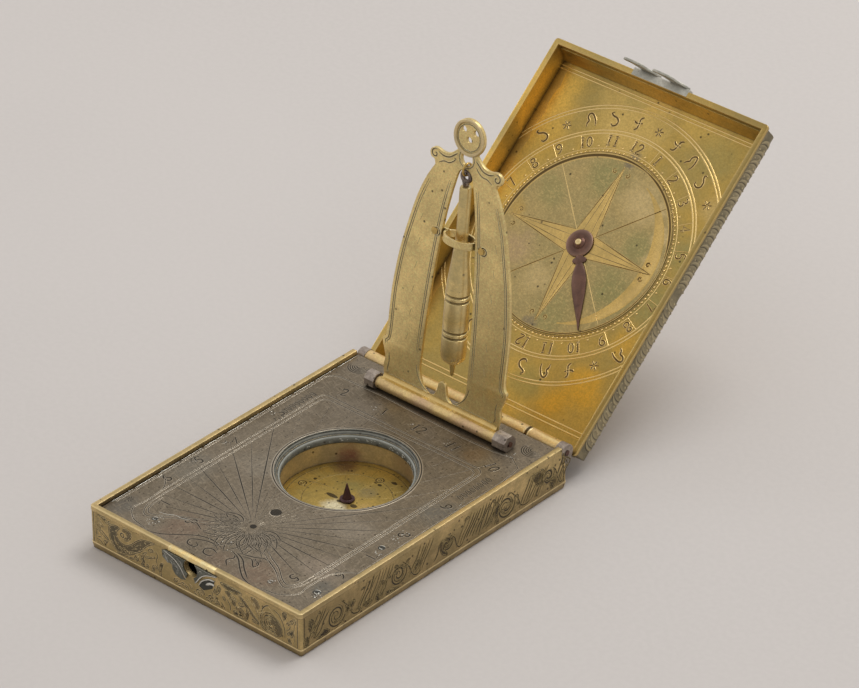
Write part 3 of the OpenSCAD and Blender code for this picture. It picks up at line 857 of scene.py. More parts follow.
class Effects:
    """The effects that several finishes share, each built once as a node group."""

    def __init__(self) -> None:
        """Builds the groups."""
        self.patina = self._patina()
        self.wear = self._wear()
        self.grime = self._grime()
        self.scratches = self._scratches()
        self.pits = self._pits()
        self.stain = self._stain()

    def _patina(self) -> NodeTree:
        """Cloudy tarnish in two sizes."""
        w, take, give = new_group("patina", {"Scale": 120, "Seed": 0, "Spread": 0.5},
            ["Clouds", "Grain", "Speckle"])
        place = w.place()
        big = w.noise(place, "4D", W=take["Seed"], Scale=take["Scale"], Detail=7, Roughness=0.62, Distortion=0.6)
        fine = w.noise(place, "4D", W=take["Seed"], Scale=w.math("MULTIPLY", take["Scale"], 9), Detail=4,
            Roughness=0.7)
        low = w.math("SUBTRACT", 0.62, w.math("MULTIPLY", take["Spread"], 0.3))
        w.join(w.span(big, w.math("SUBTRACT", low, 0.12), w.math("ADD", low, 0.16)), give["Clouds"])
        w.join(w.span(fine, 0.3, 0.7), give["Grain"])
        w.join(w.span(w.noise(place, Scale=2600, Detail=3, Roughness=0.7), 0.36, 0.64), give["Speckle"])
        return w.tree

    def _wear(self) -> NodeTree:
        """Rubbed arrises: where the rounded normal leaves the flat one, broken up by noise."""
        w, take, give = new_group("edge_wear", {"Radius": 0.0002, "Breakup": 900}, ["Mask", "Normal"])
        soft = w.node("ShaderNodeBevel", {"Radius": take["Radius"]}, samples=4).outputs[0]
        flat = w.node("ShaderNodeNewGeometry").outputs["Normal"]
        same = w.node("ShaderNodeVectorMath", {0: soft, 1: flat}, operation="DOT_PRODUCT").outputs["Value"]
        broken = w.noise(w.place(), Scale=take["Breakup"], Detail=3)
        w.join(w.math("MULTIPLY", w.span(same, 0.995, 0.86), w.span(broken, 0.38, 0.56)), give["Mask"])
        w.join(soft, give["Normal"])
        return w.tree

    def _grime(self) -> NodeTree:
        """Dirt and painted shade in corners, from nearby surfaces."""
        w, take, give = new_group("grime", {"Reach": 0.0012}, ["Mask"])
        near = w.node("ShaderNodeAmbientOcclusion", {"Distance": take["Reach"]}, samples=6)
        w.join(w.span(near.outputs["AO"], 0.92, 0.35), give["Mask"])
        return w.tree

    def _scratches(self) -> NodeTree:
        """Fine rubbing marks that run one way, and coarser ones that run another."""
        w, take, give = new_group("scratches", {"Scale": 900, "Turn": 0.4}, ["Marks"])
        place, marks = w.place(), []
        for turn, stretch in ((0, 26), (1.3, 14)):
            angle = w.math("ADD", take["Turn"], turn)
            spin = w.node("ShaderNodeVectorRotate", {"Vector": place, "Angle": angle, "Axis": (0.1, 0.25, 1)},
                rotation_type="AXIS_ANGLE")
            drawn = w.node("ShaderNodeMapping", {"Vector": spin.outputs[0], "Scale": (1, stretch, stretch)})
            scale = w.math("DIVIDE", take["Scale"], 6)
            marks.append(w.span(w.noise(drawn.outputs[0], Detail=3, Roughness=0.6, Scale=scale), 0.54, 0.66))
        w.join(w.math("MAXIMUM", *marks), give["Marks"])
        return w.tree

    def _stain(self) -> NodeTree:
        """One soft patch with a ragged border."""
        w, take, give = new_group("stain", {"Spot": (0, 0, 0), "Reach": 0.004}, ["Mask"])
        place = w.place()
        noise = w.noise(place, Scale=w.math("DIVIDE", 0.8, take["Reach"]), Detail=4, Roughness=0.65)
        gap = w.node("ShaderNodeVectorMath", {0: place, 1: take["Spot"]}, operation="DISTANCE")
        share = w.math("DIVIDE", gap.outputs["Value"], take["Reach"])
        ragged = w.math("ADD", share, w.math("MULTIPLY", w.math("SUBTRACT", noise, 0.5), 1.5))
        w.join(w.span(ragged, 1.05, 0.25), give["Mask"])
        return w.tree

    def _pits(self) -> NodeTree:
        """Small dark spots of corrosion."""
        w, take, give = new_group("pits", {"Scale": 700, "Share": 0.2}, ["Mask"])
        cells = w.node("ShaderNodeTexVoronoi", {"Vector": w.place(), "Scale": take["Scale"], "Randomness": 1})
        spot = w.span(cells.outputs["Distance"], 0.3, 0.12)
        pick = w.node("ShaderNodeSeparateColor", {0: cells.outputs["Color"]}).outputs[0]
        w.join(w.math("MULTIPLY", spot, w.math("LESS_THAN", pick, take["Share"])), give["Mask"])
        return w.tree


Colour = tuple[float, float, float]


@dataclass(frozen=True)
class Stain:
    """A soft patch of another tone at one place."""

    spot: tuple[float, float, float]
    reach: float
    colour: Colour
    share: float


def stains_on(face: WorkFace, rows: Sequence[tuple[float, float, float, Colour, float]]) -> tuple[Stain, ...]:
    """Tone patches given by place on a face, reach, colour and strength, in the frame of the part: stains, and on
    the lid, the disc and the card also painted reflections and highlights.
    """
    return tuple(Stain(tuple(face.at(x, y)), reach, colour, share) for x, y, reach, colour, share in rows)


@dataclass(frozen=True)
class MetalFinish:
    """An old metal surface: ground tone, tarnish, worn arrises, dirt, marks and pits, and painted light: shade in
    corners and on faces turned from the lamps, and highlights and reflections in some patches and on some lines.
    """

    name: str
    ground: Colour
    tarnish: Colour
    worn: Colour
    line: Colour = (0.05, 0.035, 0.02)
    dirt: Colour = (0.045, 0.034, 0.022)
    metallic: float = 0.85
    rough: float = 0.36
    rough_tarnish: float = 0.55
    scale: float = 130.0
    seed: float = 0.0
    spread: float = 0.5
    grain: float = 0.25
    wear: float = 0.7
    wear_radius: float = 0.12
    grime: float = 0.5
    grime_reach: float = 1.2
    marks: float = 0.12
    marks_turn: float = 0.4
    pits: float = 0.12
    pit_scale: float = 900.0
    bump: float = 0.12
    speckle: float = 0.3
    stains: tuple[Stain, ...] = ()

    def build(self, effects: Effects) -> Material:
        """Makes the material.

        Args:
            effects: The shared node groups.

        Returns:
            The material.
        """
        metal = bpy.data.materials.new(self.name)
        metal.use_nodes = True
        tree = metal.node_tree
        w = Wiring(tree)
        shader = tree.nodes["Principled BSDF"]
        patina = w.group(effects.patina, Scale=self.scale, Seed=self.seed, Spread=self.spread)
        marks = w.group(effects.scratches, Turn=self.marks_turn)
        pits = w.group(effects.pits, Scale=self.pit_scale, Share=self.pits)
        colour = w.blend(patina.outputs["Clouds"], self.ground, self.tarnish)
        # tone patches: stains, and painted highlights and reflections
        for stain in self.stains:
            mask = w.group(effects.stain, Spot=tuple(v * MM for v in stain.spot), Reach=stain.reach * MM)
            colour = w.blend(w.math("MULTIPLY", mask.outputs[0], stain.share), colour, stain.colour)
        dark = tuple(c * 0.62 for c in self.ground)
        colour = w.blend(w.math("MULTIPLY", patina.outputs["Grain"], self.grain), colour, dark)
        colour = w.blend(w.math("MULTIPLY", patina.outputs["Speckle"], self.speckle), colour,
            tuple(c * 0.4 for c in self.ground))
        pale = tuple(min(1, c * 1.35) for c in self.ground)
        colour = w.blend(w.math("MULTIPLY", marks.outputs["Marks"], self.marks), colour, pale)
        colour = w.blend(w.math("MULTIPLY", pits.outputs["Mask"], 0.85), colour, self.dirt)
        # dirt and painted shade: darkens near other surfaces, found by ambient occlusion
        if self.grime > 0:
            grime = w.group(effects.grime, Reach=self.grime_reach * MM)
            colour = w.blend(w.math("MULTIPLY", grime.outputs["Mask"], self.grime), colour, self.dirt)
        # engraved lines, and the painted shade carried by the same attribute, darken to the line colour
        cut = w.node("ShaderNodeAttribute", attribute_name=CUT).outputs["Fac"]
        colour = w.blend(w.math("MULTIPLY", cut, 0.92), colour, self.line)
        # rubbed arrises, and the painted highlights carried by the worn attribute, brighten to the worn colour
        rubbed = w.node("ShaderNodeAttribute", attribute_name=WORN_AND_SHEEN).outputs["Fac"]
        wear = w.group(effects.wear, Radius=self.wear_radius * MM)
        rub = w.math("MAXIMUM", rubbed, wear.outputs["Mask"])
        colour = w.blend(w.math("MULTIPLY", rub, self.wear), colour, self.worn)
        rough = w.node("ShaderNodeMix", {0: patina.outputs["Clouds"], 2: self.rough, 3: self.rough_tarnish})
        rough = w.math("SUBTRACT", rough.outputs[0], w.math("MULTIPLY", rub, 0.1))
        height = w.math("ADD", w.math("MULTIPLY", patina.outputs["Grain"], 0.5), marks.outputs["Marks"])
        height = w.math("SUBTRACT", height, pits.outputs["Mask"])
        bump = w.node("ShaderNodeBump", {"Strength": self.bump, "Distance": 0.02 * MM, "Height": height,
            "Normal": wear.outputs["Normal"]})
        tree.links.new(colour, shader.inputs["Base Color"])
        tree.links.new(rough, shader.inputs["Roughness"])
        tree.links.new(bump.outputs[0], shader.inputs["Normal"])
        shader.inputs["Metallic"].default_value = self.metallic
        return metal


OLIVE, TAN, ROSE = (0.33, 0.32, 0.13), (0.82, 0.62, 0.30), (0.62, 0.42, 0.25)
ORANGE, UMBER, PLUM = (0.88, 0.50, 0.06), (0.25, 0.165, 0.11), (0.12, 0.055, 0.06)
# Patches of the disc's gilt: the four tan ones on the upper right, near the edge, form a painted highlight arc; the
# others are tarnish and spots.
DISC_STAINS_AND_SHEEN = stains_on(DISC, ((-2.5, 13.5, 6, OLIVE, 0.75), (-12, 7, 4.5, OLIVE, 0.5),
    (11.7, 3.6, 5, OLIVE, 0.7), (11, -6, 6, OLIVE, 0.75), (7.4, 12, 5.5, TAN, 0.6), (15, 7.5, 3, TAN, 0.7),
    (16, 2.5, 2.6, TAN, 0.7), (12, 12, 2.6, TAN, 0.6), (-12.5, -5.5, 5.5, ROSE, 0.6), (-4.5, -10, 4.5, TAN, 0.45),
    (3, -14.5, 5.5, OLIVE, 0.6), (-16.5, 1.5, 3, ORANGE, 0.35), (0.5, 17.9, 1.6, (0.22, 0.19, 0.15), 0.8),
    (-1, -17.8, 2.2, (0.24, 0.20, 0.15), 0.7)))
# Patches of the lid's gilt: the bright orange ones near the hinge end and down the left edge are painted
# reflections of the gilt case and frame; the olive, tan and grey ones are tarnish and spots.
LID_STAINS_AND_REFLECTIONS = stains_on(DIAL, ((-4, 26, 12, (0.86, 0.60, 0.19), 0.75), (10, 31, 8, (0.86, 0.58, 0.15), 0.6),
    (3, -30.5, 9, (0.9, 0.56, 0.1), 0.6), (17, -25, 6, ORANGE, 0.8), (13, -29.5, 4, ORANGE, 0.7),
    (19.5, -14, 5, ORANGE, 0.6), (5.8, -28.6, 5, OLIVE, 0.6), (17, 25, 6, OLIVE, 0.3), (22, -6, 6, OLIVE, 0.6),
    (-5, 30.5, 5, OLIVE, 0.5), (22, 6, 5, OLIVE, 0.5), (22.3, 16, 4, TAN, 0.4), (-20, 16, 7, ORANGE, 0.35),
    (-24.6, 22, 12, (1, 0.62, 0.12), 0.9), (-24.6, 5, 10, (1, 0.62, 0.12), 0.8),
    (0, 34.6, 8, (1, 0.62, 0.15), 0.5), (0.8, 19.6, 1.6, (0.25, 0.22, 0.18), 0.8)))
PLATE_STAINS = stains_on(PLATE, ((-9.1, -29.5, 5.5, UMBER, 0.7), (10.8, -30.1, 6, UMBER, 0.7),
    (2, -31.5, 4, UMBER, 0.5), (14.2, 23, 3.2, (0.27, 0.18, 0.10), 0.7),
    (17.5, -22.1, 5, (0.36, 0.29, 0.22), 0.7), (13.6, -9.8, 6, (0.36, 0.31, 0.24), 0.6),
    (-12.5, -4, 7, (0.33, 0.29, 0.225), 0.6), (-22, -30.8, 4, (0.14, 0.135, 0.12), 0.7),
    (22.3, -26, 3, (0.13, 0.14, 0.13), 0.6), (22.8, 5, 6, (0.17, 0.175, 0.165), 0.6),
    (-21.8, -14, 7, (0.26, 0.245, 0.205), 0.5)))

FINISHES: dict[str, MetalFinish] = {f.name: f for f in (
    MetalFinish("gilt_case", (0.80, 0.575, 0.265), (0.56, 0.43, 0.205), (1, 0.82, 0.46),
        line=(0.06, 0.062, 0.053), scale=180, grime_reach=0.7),
    MetalFinish("gilt_ground", (0.74, 0.54, 0.245), (0.47, 0.365, 0.17), (1, 0.80, 0.44), scale=260, seed=3,
        spread=0.6, grime_reach=0.8, line=(0.045, 0.024, 0.018)),
    # painted shade: a darker copy of the case's gilt for the side walls, which the light reaches less
    MetalFinish("gilt_side_shaded", (0.33, 0.25, 0.105), (0.21, 0.17, 0.08), (0.66, 0.51, 0.25),
        line=(0.045, 0.034, 0.026), scale=200, seed=6, grime_reach=0.7, rough=0.42),
    MetalFinish("gilt_lid", (0.62, 0.41, 0.10), (0.47, 0.35, 0.115), (0.98, 0.72, 0.32), scale=90, seed=5,
        rough=0.28, rough_tarnish=0.4, pits=0.05, stains=LID_STAINS_AND_REFLECTIONS),
    MetalFinish("gilt_disc", (0.54, 0.40, 0.165), (0.44, 0.35, 0.155), (0.9, 0.7, 0.38), scale=75, seed=9,
        rough=0.32, rough_tarnish=0.44, marks=0.4, pits=0.06, line=(0.07, 0.045, 0.02), stains=DISC_STAINS_AND_SHEEN),
    MetalFinish("gilt_bright", (0.80, 0.54, 0.17), (0.56, 0.39, 0.13), (1, 0.74, 0.34), scale=200, seed=2,
        line=(0.09, 0.055, 0.02), rough=0.26, rough_tarnish=0.36, pits=0.05, grime=0.3),
    MetalFinish("gilt_scales", (0.33, 0.28, 0.17), (0.22, 0.195, 0.13), (0.72, 0.60, 0.36), scale=300, seed=7,
        rough=0.4, grime_reach=0.7, grime=0.6, line=(0.03, 0.026, 0.02)),
    MetalFinish("pale_gilt", (1, 0.76, 0.33), (0.74, 0.57, 0.26), (1, 0.92, 0.60), scale=140, seed=4, rough=0.28,
        rough_tarnish=0.4, marks=0.3, pits=0.05, line=(0.08, 0.05, 0.02)),
    # painted highlight: a very pale gilt for the rubbed catch rim, standing for the light that it catches
    MetalFinish("highlit_rubbed_gilt", (1, 0.84, 0.46), (0.98, 0.72, 0.30), (1, 0.94, 0.66), scale=500, seed=27,
        rough=0.40, rough_tarnish=0.5, marks=0.1, pits=0.05, speckle=0.1, bump=0.5, grime=0.2),
    MetalFinish("dull_gilt", (0.60, 0.43, 0.17), (0.42, 0.33, 0.18), (0.98, 0.82, 0.5), scale=260, seed=24,
        rough=0.34, rough_tarnish=0.45, marks=0.2, pits=0.1, line=(0.06, 0.04, 0.02)),
    MetalFinish("gilt_plummet", (0.80, 0.59, 0.23), (0.48, 0.38, 0.165), (1, 0.84, 0.46), scale=260, seed=19,
        rough=0.3, rough_tarnish=0.42, pits=0.1, line=(0.05, 0.035, 0.02)),
    MetalFinish("steel_eye", (0.36, 0.30, 0.25), (0.12, 0.085, 0.075), (0.75, 0.68, 0.58), scale=700, seed=29,
        rough=0.24, rough_tarnish=0.36, metallic=0.9, pits=0.15),
    MetalFinish("silver_plate", (0.275, 0.225, 0.16), (0.19, 0.152, 0.102), (0.66, 0.58, 0.46), speckle=0.45,
        line=(0.02, 0.016, 0.011), scale=85, seed=11, spread=0.5, rough=0.36, rough_tarnish=0.5, metallic=0.75,
        marks=0.4, pits=0.3, pit_scale=1400, grime=0.6, grime_reach=1.4, stains=PLATE_STAINS),
    MetalFinish("silver_bright", (0.60, 0.57, 0.49), (0.36, 0.36, 0.31), (0.86, 0.84, 0.77),
        line=(0.04, 0.04, 0.035), scale=350, seed=12, rough=0.3, metallic=0.85, pits=0.2),
    MetalFinish("silver_dark", (0.22, 0.22, 0.175), (0.10, 0.105, 0.09), (0.85, 0.83, 0.74),
        line=(0.03, 0.03, 0.025), scale=500, seed=22, rough=0.45, metallic=0.6, pits=0.3, bump=0.3),
    MetalFinish("silver_worn", (0.56, 0.48, 0.40), (0.27, 0.22, 0.19), (0.9, 0.82, 0.72), scale=420, seed=13,
        spread=0.55, rough=0.38, metallic=0.8, pits=0.3, bump=0.5, stains=(Stain((15.6, 28, 9.4), 1.3,
        (0.16, 0.06, 0.07), 0.9), Stain((15.9, 29.6, 10.4), 1, (0.30, 0.17, 0.08), 0.7))),
    MetalFinish("grey_seat", (0.20, 0.205, 0.175), (0.11, 0.115, 0.10), (0.80, 0.82, 0.76), scale=420, seed=14,
        spread=0.5, rough=0.6, rough_tarnish=0.8, metallic=0.25, pits=0.3, bump=0.6, wear=0.7),
    MetalFinish("dark_steel", (0.17, 0.085, 0.06), (0.08, 0.042, 0.036), (0.46, 0.30, 0.22), scale=300, seed=15,
        rough=0.36, rough_tarnish=0.5, metallic=0.7, pits=0.2),
    MetalFinish("plum_steel", PLUM, (0.06, 0.03, 0.03), (0.3, 0.16, 0.14), scale=300, seed=25, rough=0.4,
        rough_tarnish=0.5, metallic=0.5, pits=0.2),
    MetalFinish("card_gilt", (0.72, 0.50, 0.13), (0.42, 0.31, 0.10), (0.95, 0.72, 0.3), scale=150, seed=16,
        rough=0.34, pits=0.3, pit_scale=1100, grime_reach=2, grime=0.4, spread=0.5,
        # painted highlight: the first, pale patch near the front of the card
        stains=(Stain((0, 1.4, 1.6), 3.2, (1, 0.92, 0.66), 1), Stain((-7.5, 12, 1.6), 3, PLUM, 0.7),
        Stain((1.5, 8.5, 1.6), 2.4, (0.3, 0.26, 0.15), 0.7), Stain((-2.5, 8, 1.6), 3, OLIVE, 0.5),
        Stain((5, 4, 1.6), 3, ROSE, 0.4))),
    MetalFinish("bowl_brass", (0.78, 0.64, 0.40), (0.54, 0.45, 0.28), (0.9, 0.7, 0.4), scale=160, seed=17,
        rough=0.4, metallic=0.75, pits=0.1, grime=0.15, grime_reach=3, stains=(Stain((-7.8, 13.6, 2.4), 3.2,
        (0.30, 0.10, 0.10), 0.8), Stain((4.5, 15.5, 4), 5, (0.42, 0.28, 0.17), 0.6),
        Stain((12.5, 6, 4), 4, (0.36, 0.2, 0.13), 0.6))),
    MetalFinish("rosy_gilt", (1, 0.74, 0.33), (0.74, 0.52, 0.27), (1, 0.88, 0.6), scale=250, seed=18, rough=0.3,
        pits=0.08, stains=(Stain((-3, 27.4, 9.4), 4, (0.72, 0.48, 0.34), 0.7),
        Stain((9, 27.4, 9.3), 4.5, (0.72, 0.48, 0.34), 0.7))),
)}


@cache
def metal_of(name: str) -> Material:
    """Material of a named finish, made the first time that it is asked for."""
    return FINISHES[name].build(shared_effects())


@cache
def shared_effects() -> Effects:
    """The node groups that all finishes share."""
    return Effects()


# ---- studio


@dataclass(frozen=True)
class Studio:
    """Floor, light and camera."""

    focal_px: float = 4856.7
    width_px: int = 859
    distance: float = 900.0
    azimuth: float = 41.584
    elevation: float = 32.208
    aim: Point2 = (-6.192, 9.166)
    floor_tone: Colour = (0.585, 0.553, 0.533)

    def camera(self) -> Object:
        """Sets the camera at the photograph's place.

        Returns:
            The camera.
        """
        a, e = radians(self.azimuth), radians(self.elevation)
        right = Vector((cos(a), sin(a), 0))
        back = Vector((sin(a) * cos(e), -cos(a) * cos(e), sin(e)))
        up = back.cross(right)
        centre = Vector((0, CASE.hinge_y, CASE.height))
        place = centre + right * self.aim[0] + up * self.aim[1] + back * self.distance
        data = bpy.data.cameras.new("camera")
        data.sensor_width = 36
        data.lens = self.focal_px / self.width_px * data.sensor_width
        data.clip_start, data.clip_end = 0.05, 50
        made = linked("camera", data)
        made.matrix_world = Matrix.Translation(place * MM) @ Matrix((right, up, back)).transposed().to_4x4()
        bpy.context.scene.camera = made
        return made

    def floor(self) -> Object:
        """Lays a pale paper floor that runs far past the view.

        Returns:
            The floor.
        """
        mesh = bpy.data.meshes.new("floor")
        size = 6
        mesh.from_pydata([(-size, -size, 0), (size, -size, 0), (size, size, 0), (-size, size, 0)], [],
            [(0, 1, 2, 3)])
        floor = linked("floor", mesh)
        paper = bpy.data.materials.new("paper")
        paper.use_nodes = True
        w = Wiring(paper.node_tree)
        shader = paper.node_tree.nodes["Principled BSDF"]
        place = w.place()
        fibre, soft = w.noise(place, Scale=900, Detail=3), w.noise(place, Scale=9, Detail=2)
        tone = w.blend(w.span(fibre, 0.3, 0.7), self.floor_tone, tuple(c * 0.97 for c in self.floor_tone))
        tone = w.blend(w.math("MULTIPLY", w.span(soft, 0.35, 0.65), 0.4), tone,
            tuple(c * 1.04 for c in self.floor_tone))
        paper.node_tree.links.new(tone, shader.inputs["Base Color"])
        shader.inputs["Roughness"].default_value = 0.9
        shader.inputs["Specular IOR Level"].default_value = 0.1
        mesh.materials.append(paper)
        return floor

    def light(self) -> None:
        """Hangs soft lamps and a pale sky."""
        scene = bpy.context.scene
        world = bpy.data.worlds.new("sky")
        scene.world = world
        world.use_nodes = True
        w = Wiring(world.node_tree)
        ground = world.node_tree.nodes["Background"]
        where = w.node("ShaderNodeTexCoord").outputs["Generated"]
        height = w.node("ShaderNodeSeparateXYZ", {0: where}).outputs["Z"]
        tone = w.blend(w.span(height, -0.1, 0.9), (0.66, 0.635, 0.61), (0.72, 0.705, 0.69))
        world.node_tree.links.new(tone, ground.inputs["Color"])
        ground.inputs["Strength"].default_value = 0.95
        for name, place, size, power, tint in (("overhead", (60, 360, 700), 420, 2.5, (1, 0.99, 0.97)),
                ("side", (-700, -60, 300), 300, 0.35, (0.98, 0.98, 1))):
            data = bpy.data.lights.new(name, "AREA")
            data.shape, data.size, data.energy, data.color = "DISK", size * MM, power, tint
            lamp = linked(name, data)
            spot = Vector(place) * MM
            lamp.location = spot
            lamp.rotation_mode = "QUATERNION"
            lamp.rotation_quaternion = (Vector((0, 0.02, 0.02)) - spot).to_track_quat("-Z", "Y")

    def build(self) -> None:
        """Sets up everything that isn't the sundial."""
        self.camera()
        self.floor()
        self.light()
        bpy.context.scene.view_settings.view_transform = "Standard"


# ---- case


def rounded_loop(hw: float, hd: float, r: float, z: float, steps: int = 6) -> list[Vector]:
    """Level ring with rounded corners.

    Args:
        hw: Half the width.
        hd: Half the depth.
        r: Corner radius.
        z: Height.
        steps: Steps in each corner.

    Returns:
        The ring's points.
    """
    out = []
    for sx, sy, start in ((1, -1, -90), (1, 1, 0), (-1, 1, 90), (-1, -1, 180)):
        for k in range(steps + 1):
            a = radians(start + 90 * k / steps)
            out.append(Vector((sx * (hw - r) + r * cos(a), sy * (hd - r) + r * sin(a), z)))
    return out


# Matted areas with their darkness, and lines with their widths: each point is a place along the wall and a height.
FRONT_PITS = outlines("""
    0.8: -23.6,8.05 -22.5,8.05 -21.8,7.9 -21.5,7 -22,7.2 -22.8,7.6
    0.85: -11.6,5.3 -12.6,4.6 -13.1,3.3 -12.8,2.7 -13.1,2 -12.5,1.85 -12.2,2.1 -12.5,2.5 -12.2,3 -12.5,3.6 -12.2,4.4
    0.8: -12,4.4 -10.9,4.6 -9.7,5.2 -9.8,4.8 -11.1,4.2 -12,4
    0.85: -11.9,2.3 -11.4,2.8 -11.3,2.1 -11.8,1.85
    0.85: -10.4,1.85 -10.4,2.4 -10,3.3 -9.7,2.7 -9.9,1.85
    0.8: -8.3,4.3 -7.6,4.7 -7.8,3.9 -8.2,2.8 -8,1.85 -8.5,1.85 -8.5,3
    0.75: 7.6,5.8 8.8,6 9.9,4.7 10,3.8 9.3,4 8.5,5
    0.8: 10.7,6.8 12.2,6 13.5,4.8 14.7,3.8 15.8,2.9 15.3,2.5 14.1,3.5 12.7,4.6 11.5,5.6
    0.75: 12.9,4.7 13.3,3.9 12.8,2.1 12.3,2 12.6,3.4
    0.9: 9.6,2.6 10.5,2.8 11.6,2.4 11.9,1.85 10.6,1.85 9.6,2
    0.5: 10.2,3.6 11.6,3.9 12.3,3 12.1,2.1 10.9,2.3
    0.75: 6.4,7.2 7.8,7.4 9.2,7.4 10.9,7.4 11.7,7 10.7,6.5 8.9,6.4 7.4,6.6
    0.68: 16.6,5.5 17.6,5.9 18.8,6.2 20.2,5.6 21.1,4.3 21.2,3.1 20.5,2.1 19,1.95 17.6,2 16.4,2.3 16,3.4 16.1,4.6
    0.8: 21.4,7.6 22.2,8.05 22.3,7.2 21.7,6.2 21.5,7
    0.8: 23.9,7.5 24.5,7.6 24.5,6.7 24.1,6.6
    0.85: 22.4,3.6 23.7,5 24,4.5 23.6,3.4 23.2,3.7
    0.85: 22.6,2.8 23.1,2.8 23.5,1.85 22.9,1.85
    0.6: 5.9,6.2 6.5,6 6.2,4.9 5.4,4 5.6,5.2
    0.65: 13.8,7.5 15.2,7.5 15.9,6.3 15,5.4 14.6,6.4
""")
FRONT_LINES = outlines("""
    0.2: -24,7.9 -23.5,6.6 -23.2,5.2 -22.2,4.4 -21.2,3.6 -20.5,2.7
    0.18: -23.8,7.6 -23.5,7 -22.8,6.4 -22,5.9
    0.16: -24.2,5 -23.5,4.5 -22.4,4 -21.3,3.4 -20.8,3
    0.2: -24.4,2.6 -23.4,2.6 -22.9,2.2 -22.4,1.85
    0.16: -24.2,4.2 -24,3.2 -23.2,3.4 -22.6,3
    0.16: -19.4,1.85 -17.8,1.9 -15.4,2.4 -13.6,3.3
    0.2: -16.4,1.85 -15,2.3 -14.4,3.3 -13.4,2.4
    0.16: -9.4,6.6 -8.9,5.6 -9.3,4.6 -8.9,3.4
    0.2: 4.3,4.3 4.6,3.2 5,2.3 5.5,1.85
    0.2: 6.6,3 7.1,2.4 7.6,1.85
    0.18: 8,4.4 8.8,3.2 8.7,2.1
    0.22: 16.4,5.4 16.6,6.3 17.3,7.2 18.2,7.7
    0.16: 14.2,6.9 14.9,5.4 15.7,4.2 16.2,2.8
    0.2: 19,7.4 20.4,6.9 21.4,5.6 21.9,4.2 21.9,2.6
    0.16: 22.8,6.6 23.2,5.6 22.9,4.8 22.2,4.4
""")
SIDE_PITS = outlines("""
    0.9: -30.4,2.7 -29.4,3 -28.4,1.85 -31.4,1.85 -31.6,2.2
    0.9: -16.4,3.2 -16,3.6 -15.5,2.6 -15.4,1.85 -16.2,1.85
    0.8: -13.6,2.5 -12,2.4 -10.1,1.85 -13.4,1.85
    0.75: -23.7,4.9 -22.8,5.3 -21.8,5.3 -22.1,4.4 -23.3,3.7 -24.2,3.6
    0.7: -6.1,4 -5.4,5 -4.2,4.9 -4.4,3.9 -5.6,3
    0.6: -33.5,6.8 -32.6,6.5 -32.1,4.9 -33.1,3.9 -33.6,5.3
    0.75: 0.7,5.3 2.3,5.7 4.1,5.2 3.6,4.2 2,3.8 2.8,2.1 1.2,2.9
    0.75: 15.7,5.8 16.2,6.6 17.1,4.9 16.3,3.6 16.7,2.1 16.2,1.85 15.7,3.5
    0.7: 26.2,7.1 28.1,7.2 29.5,5.4 28.9,4 27.6,4.3 26.7,5.7
    0.55: -19.6,3.2 -18.2,3.6 -17.4,2.6 -18.8,2.05
    0.6: 31,3.6 32.4,4.4 32.6,2.6 31.4,1.85
    0.6: -35,3.2 -34,3.6 -33.8,1.85 -34.8,1.85
""")


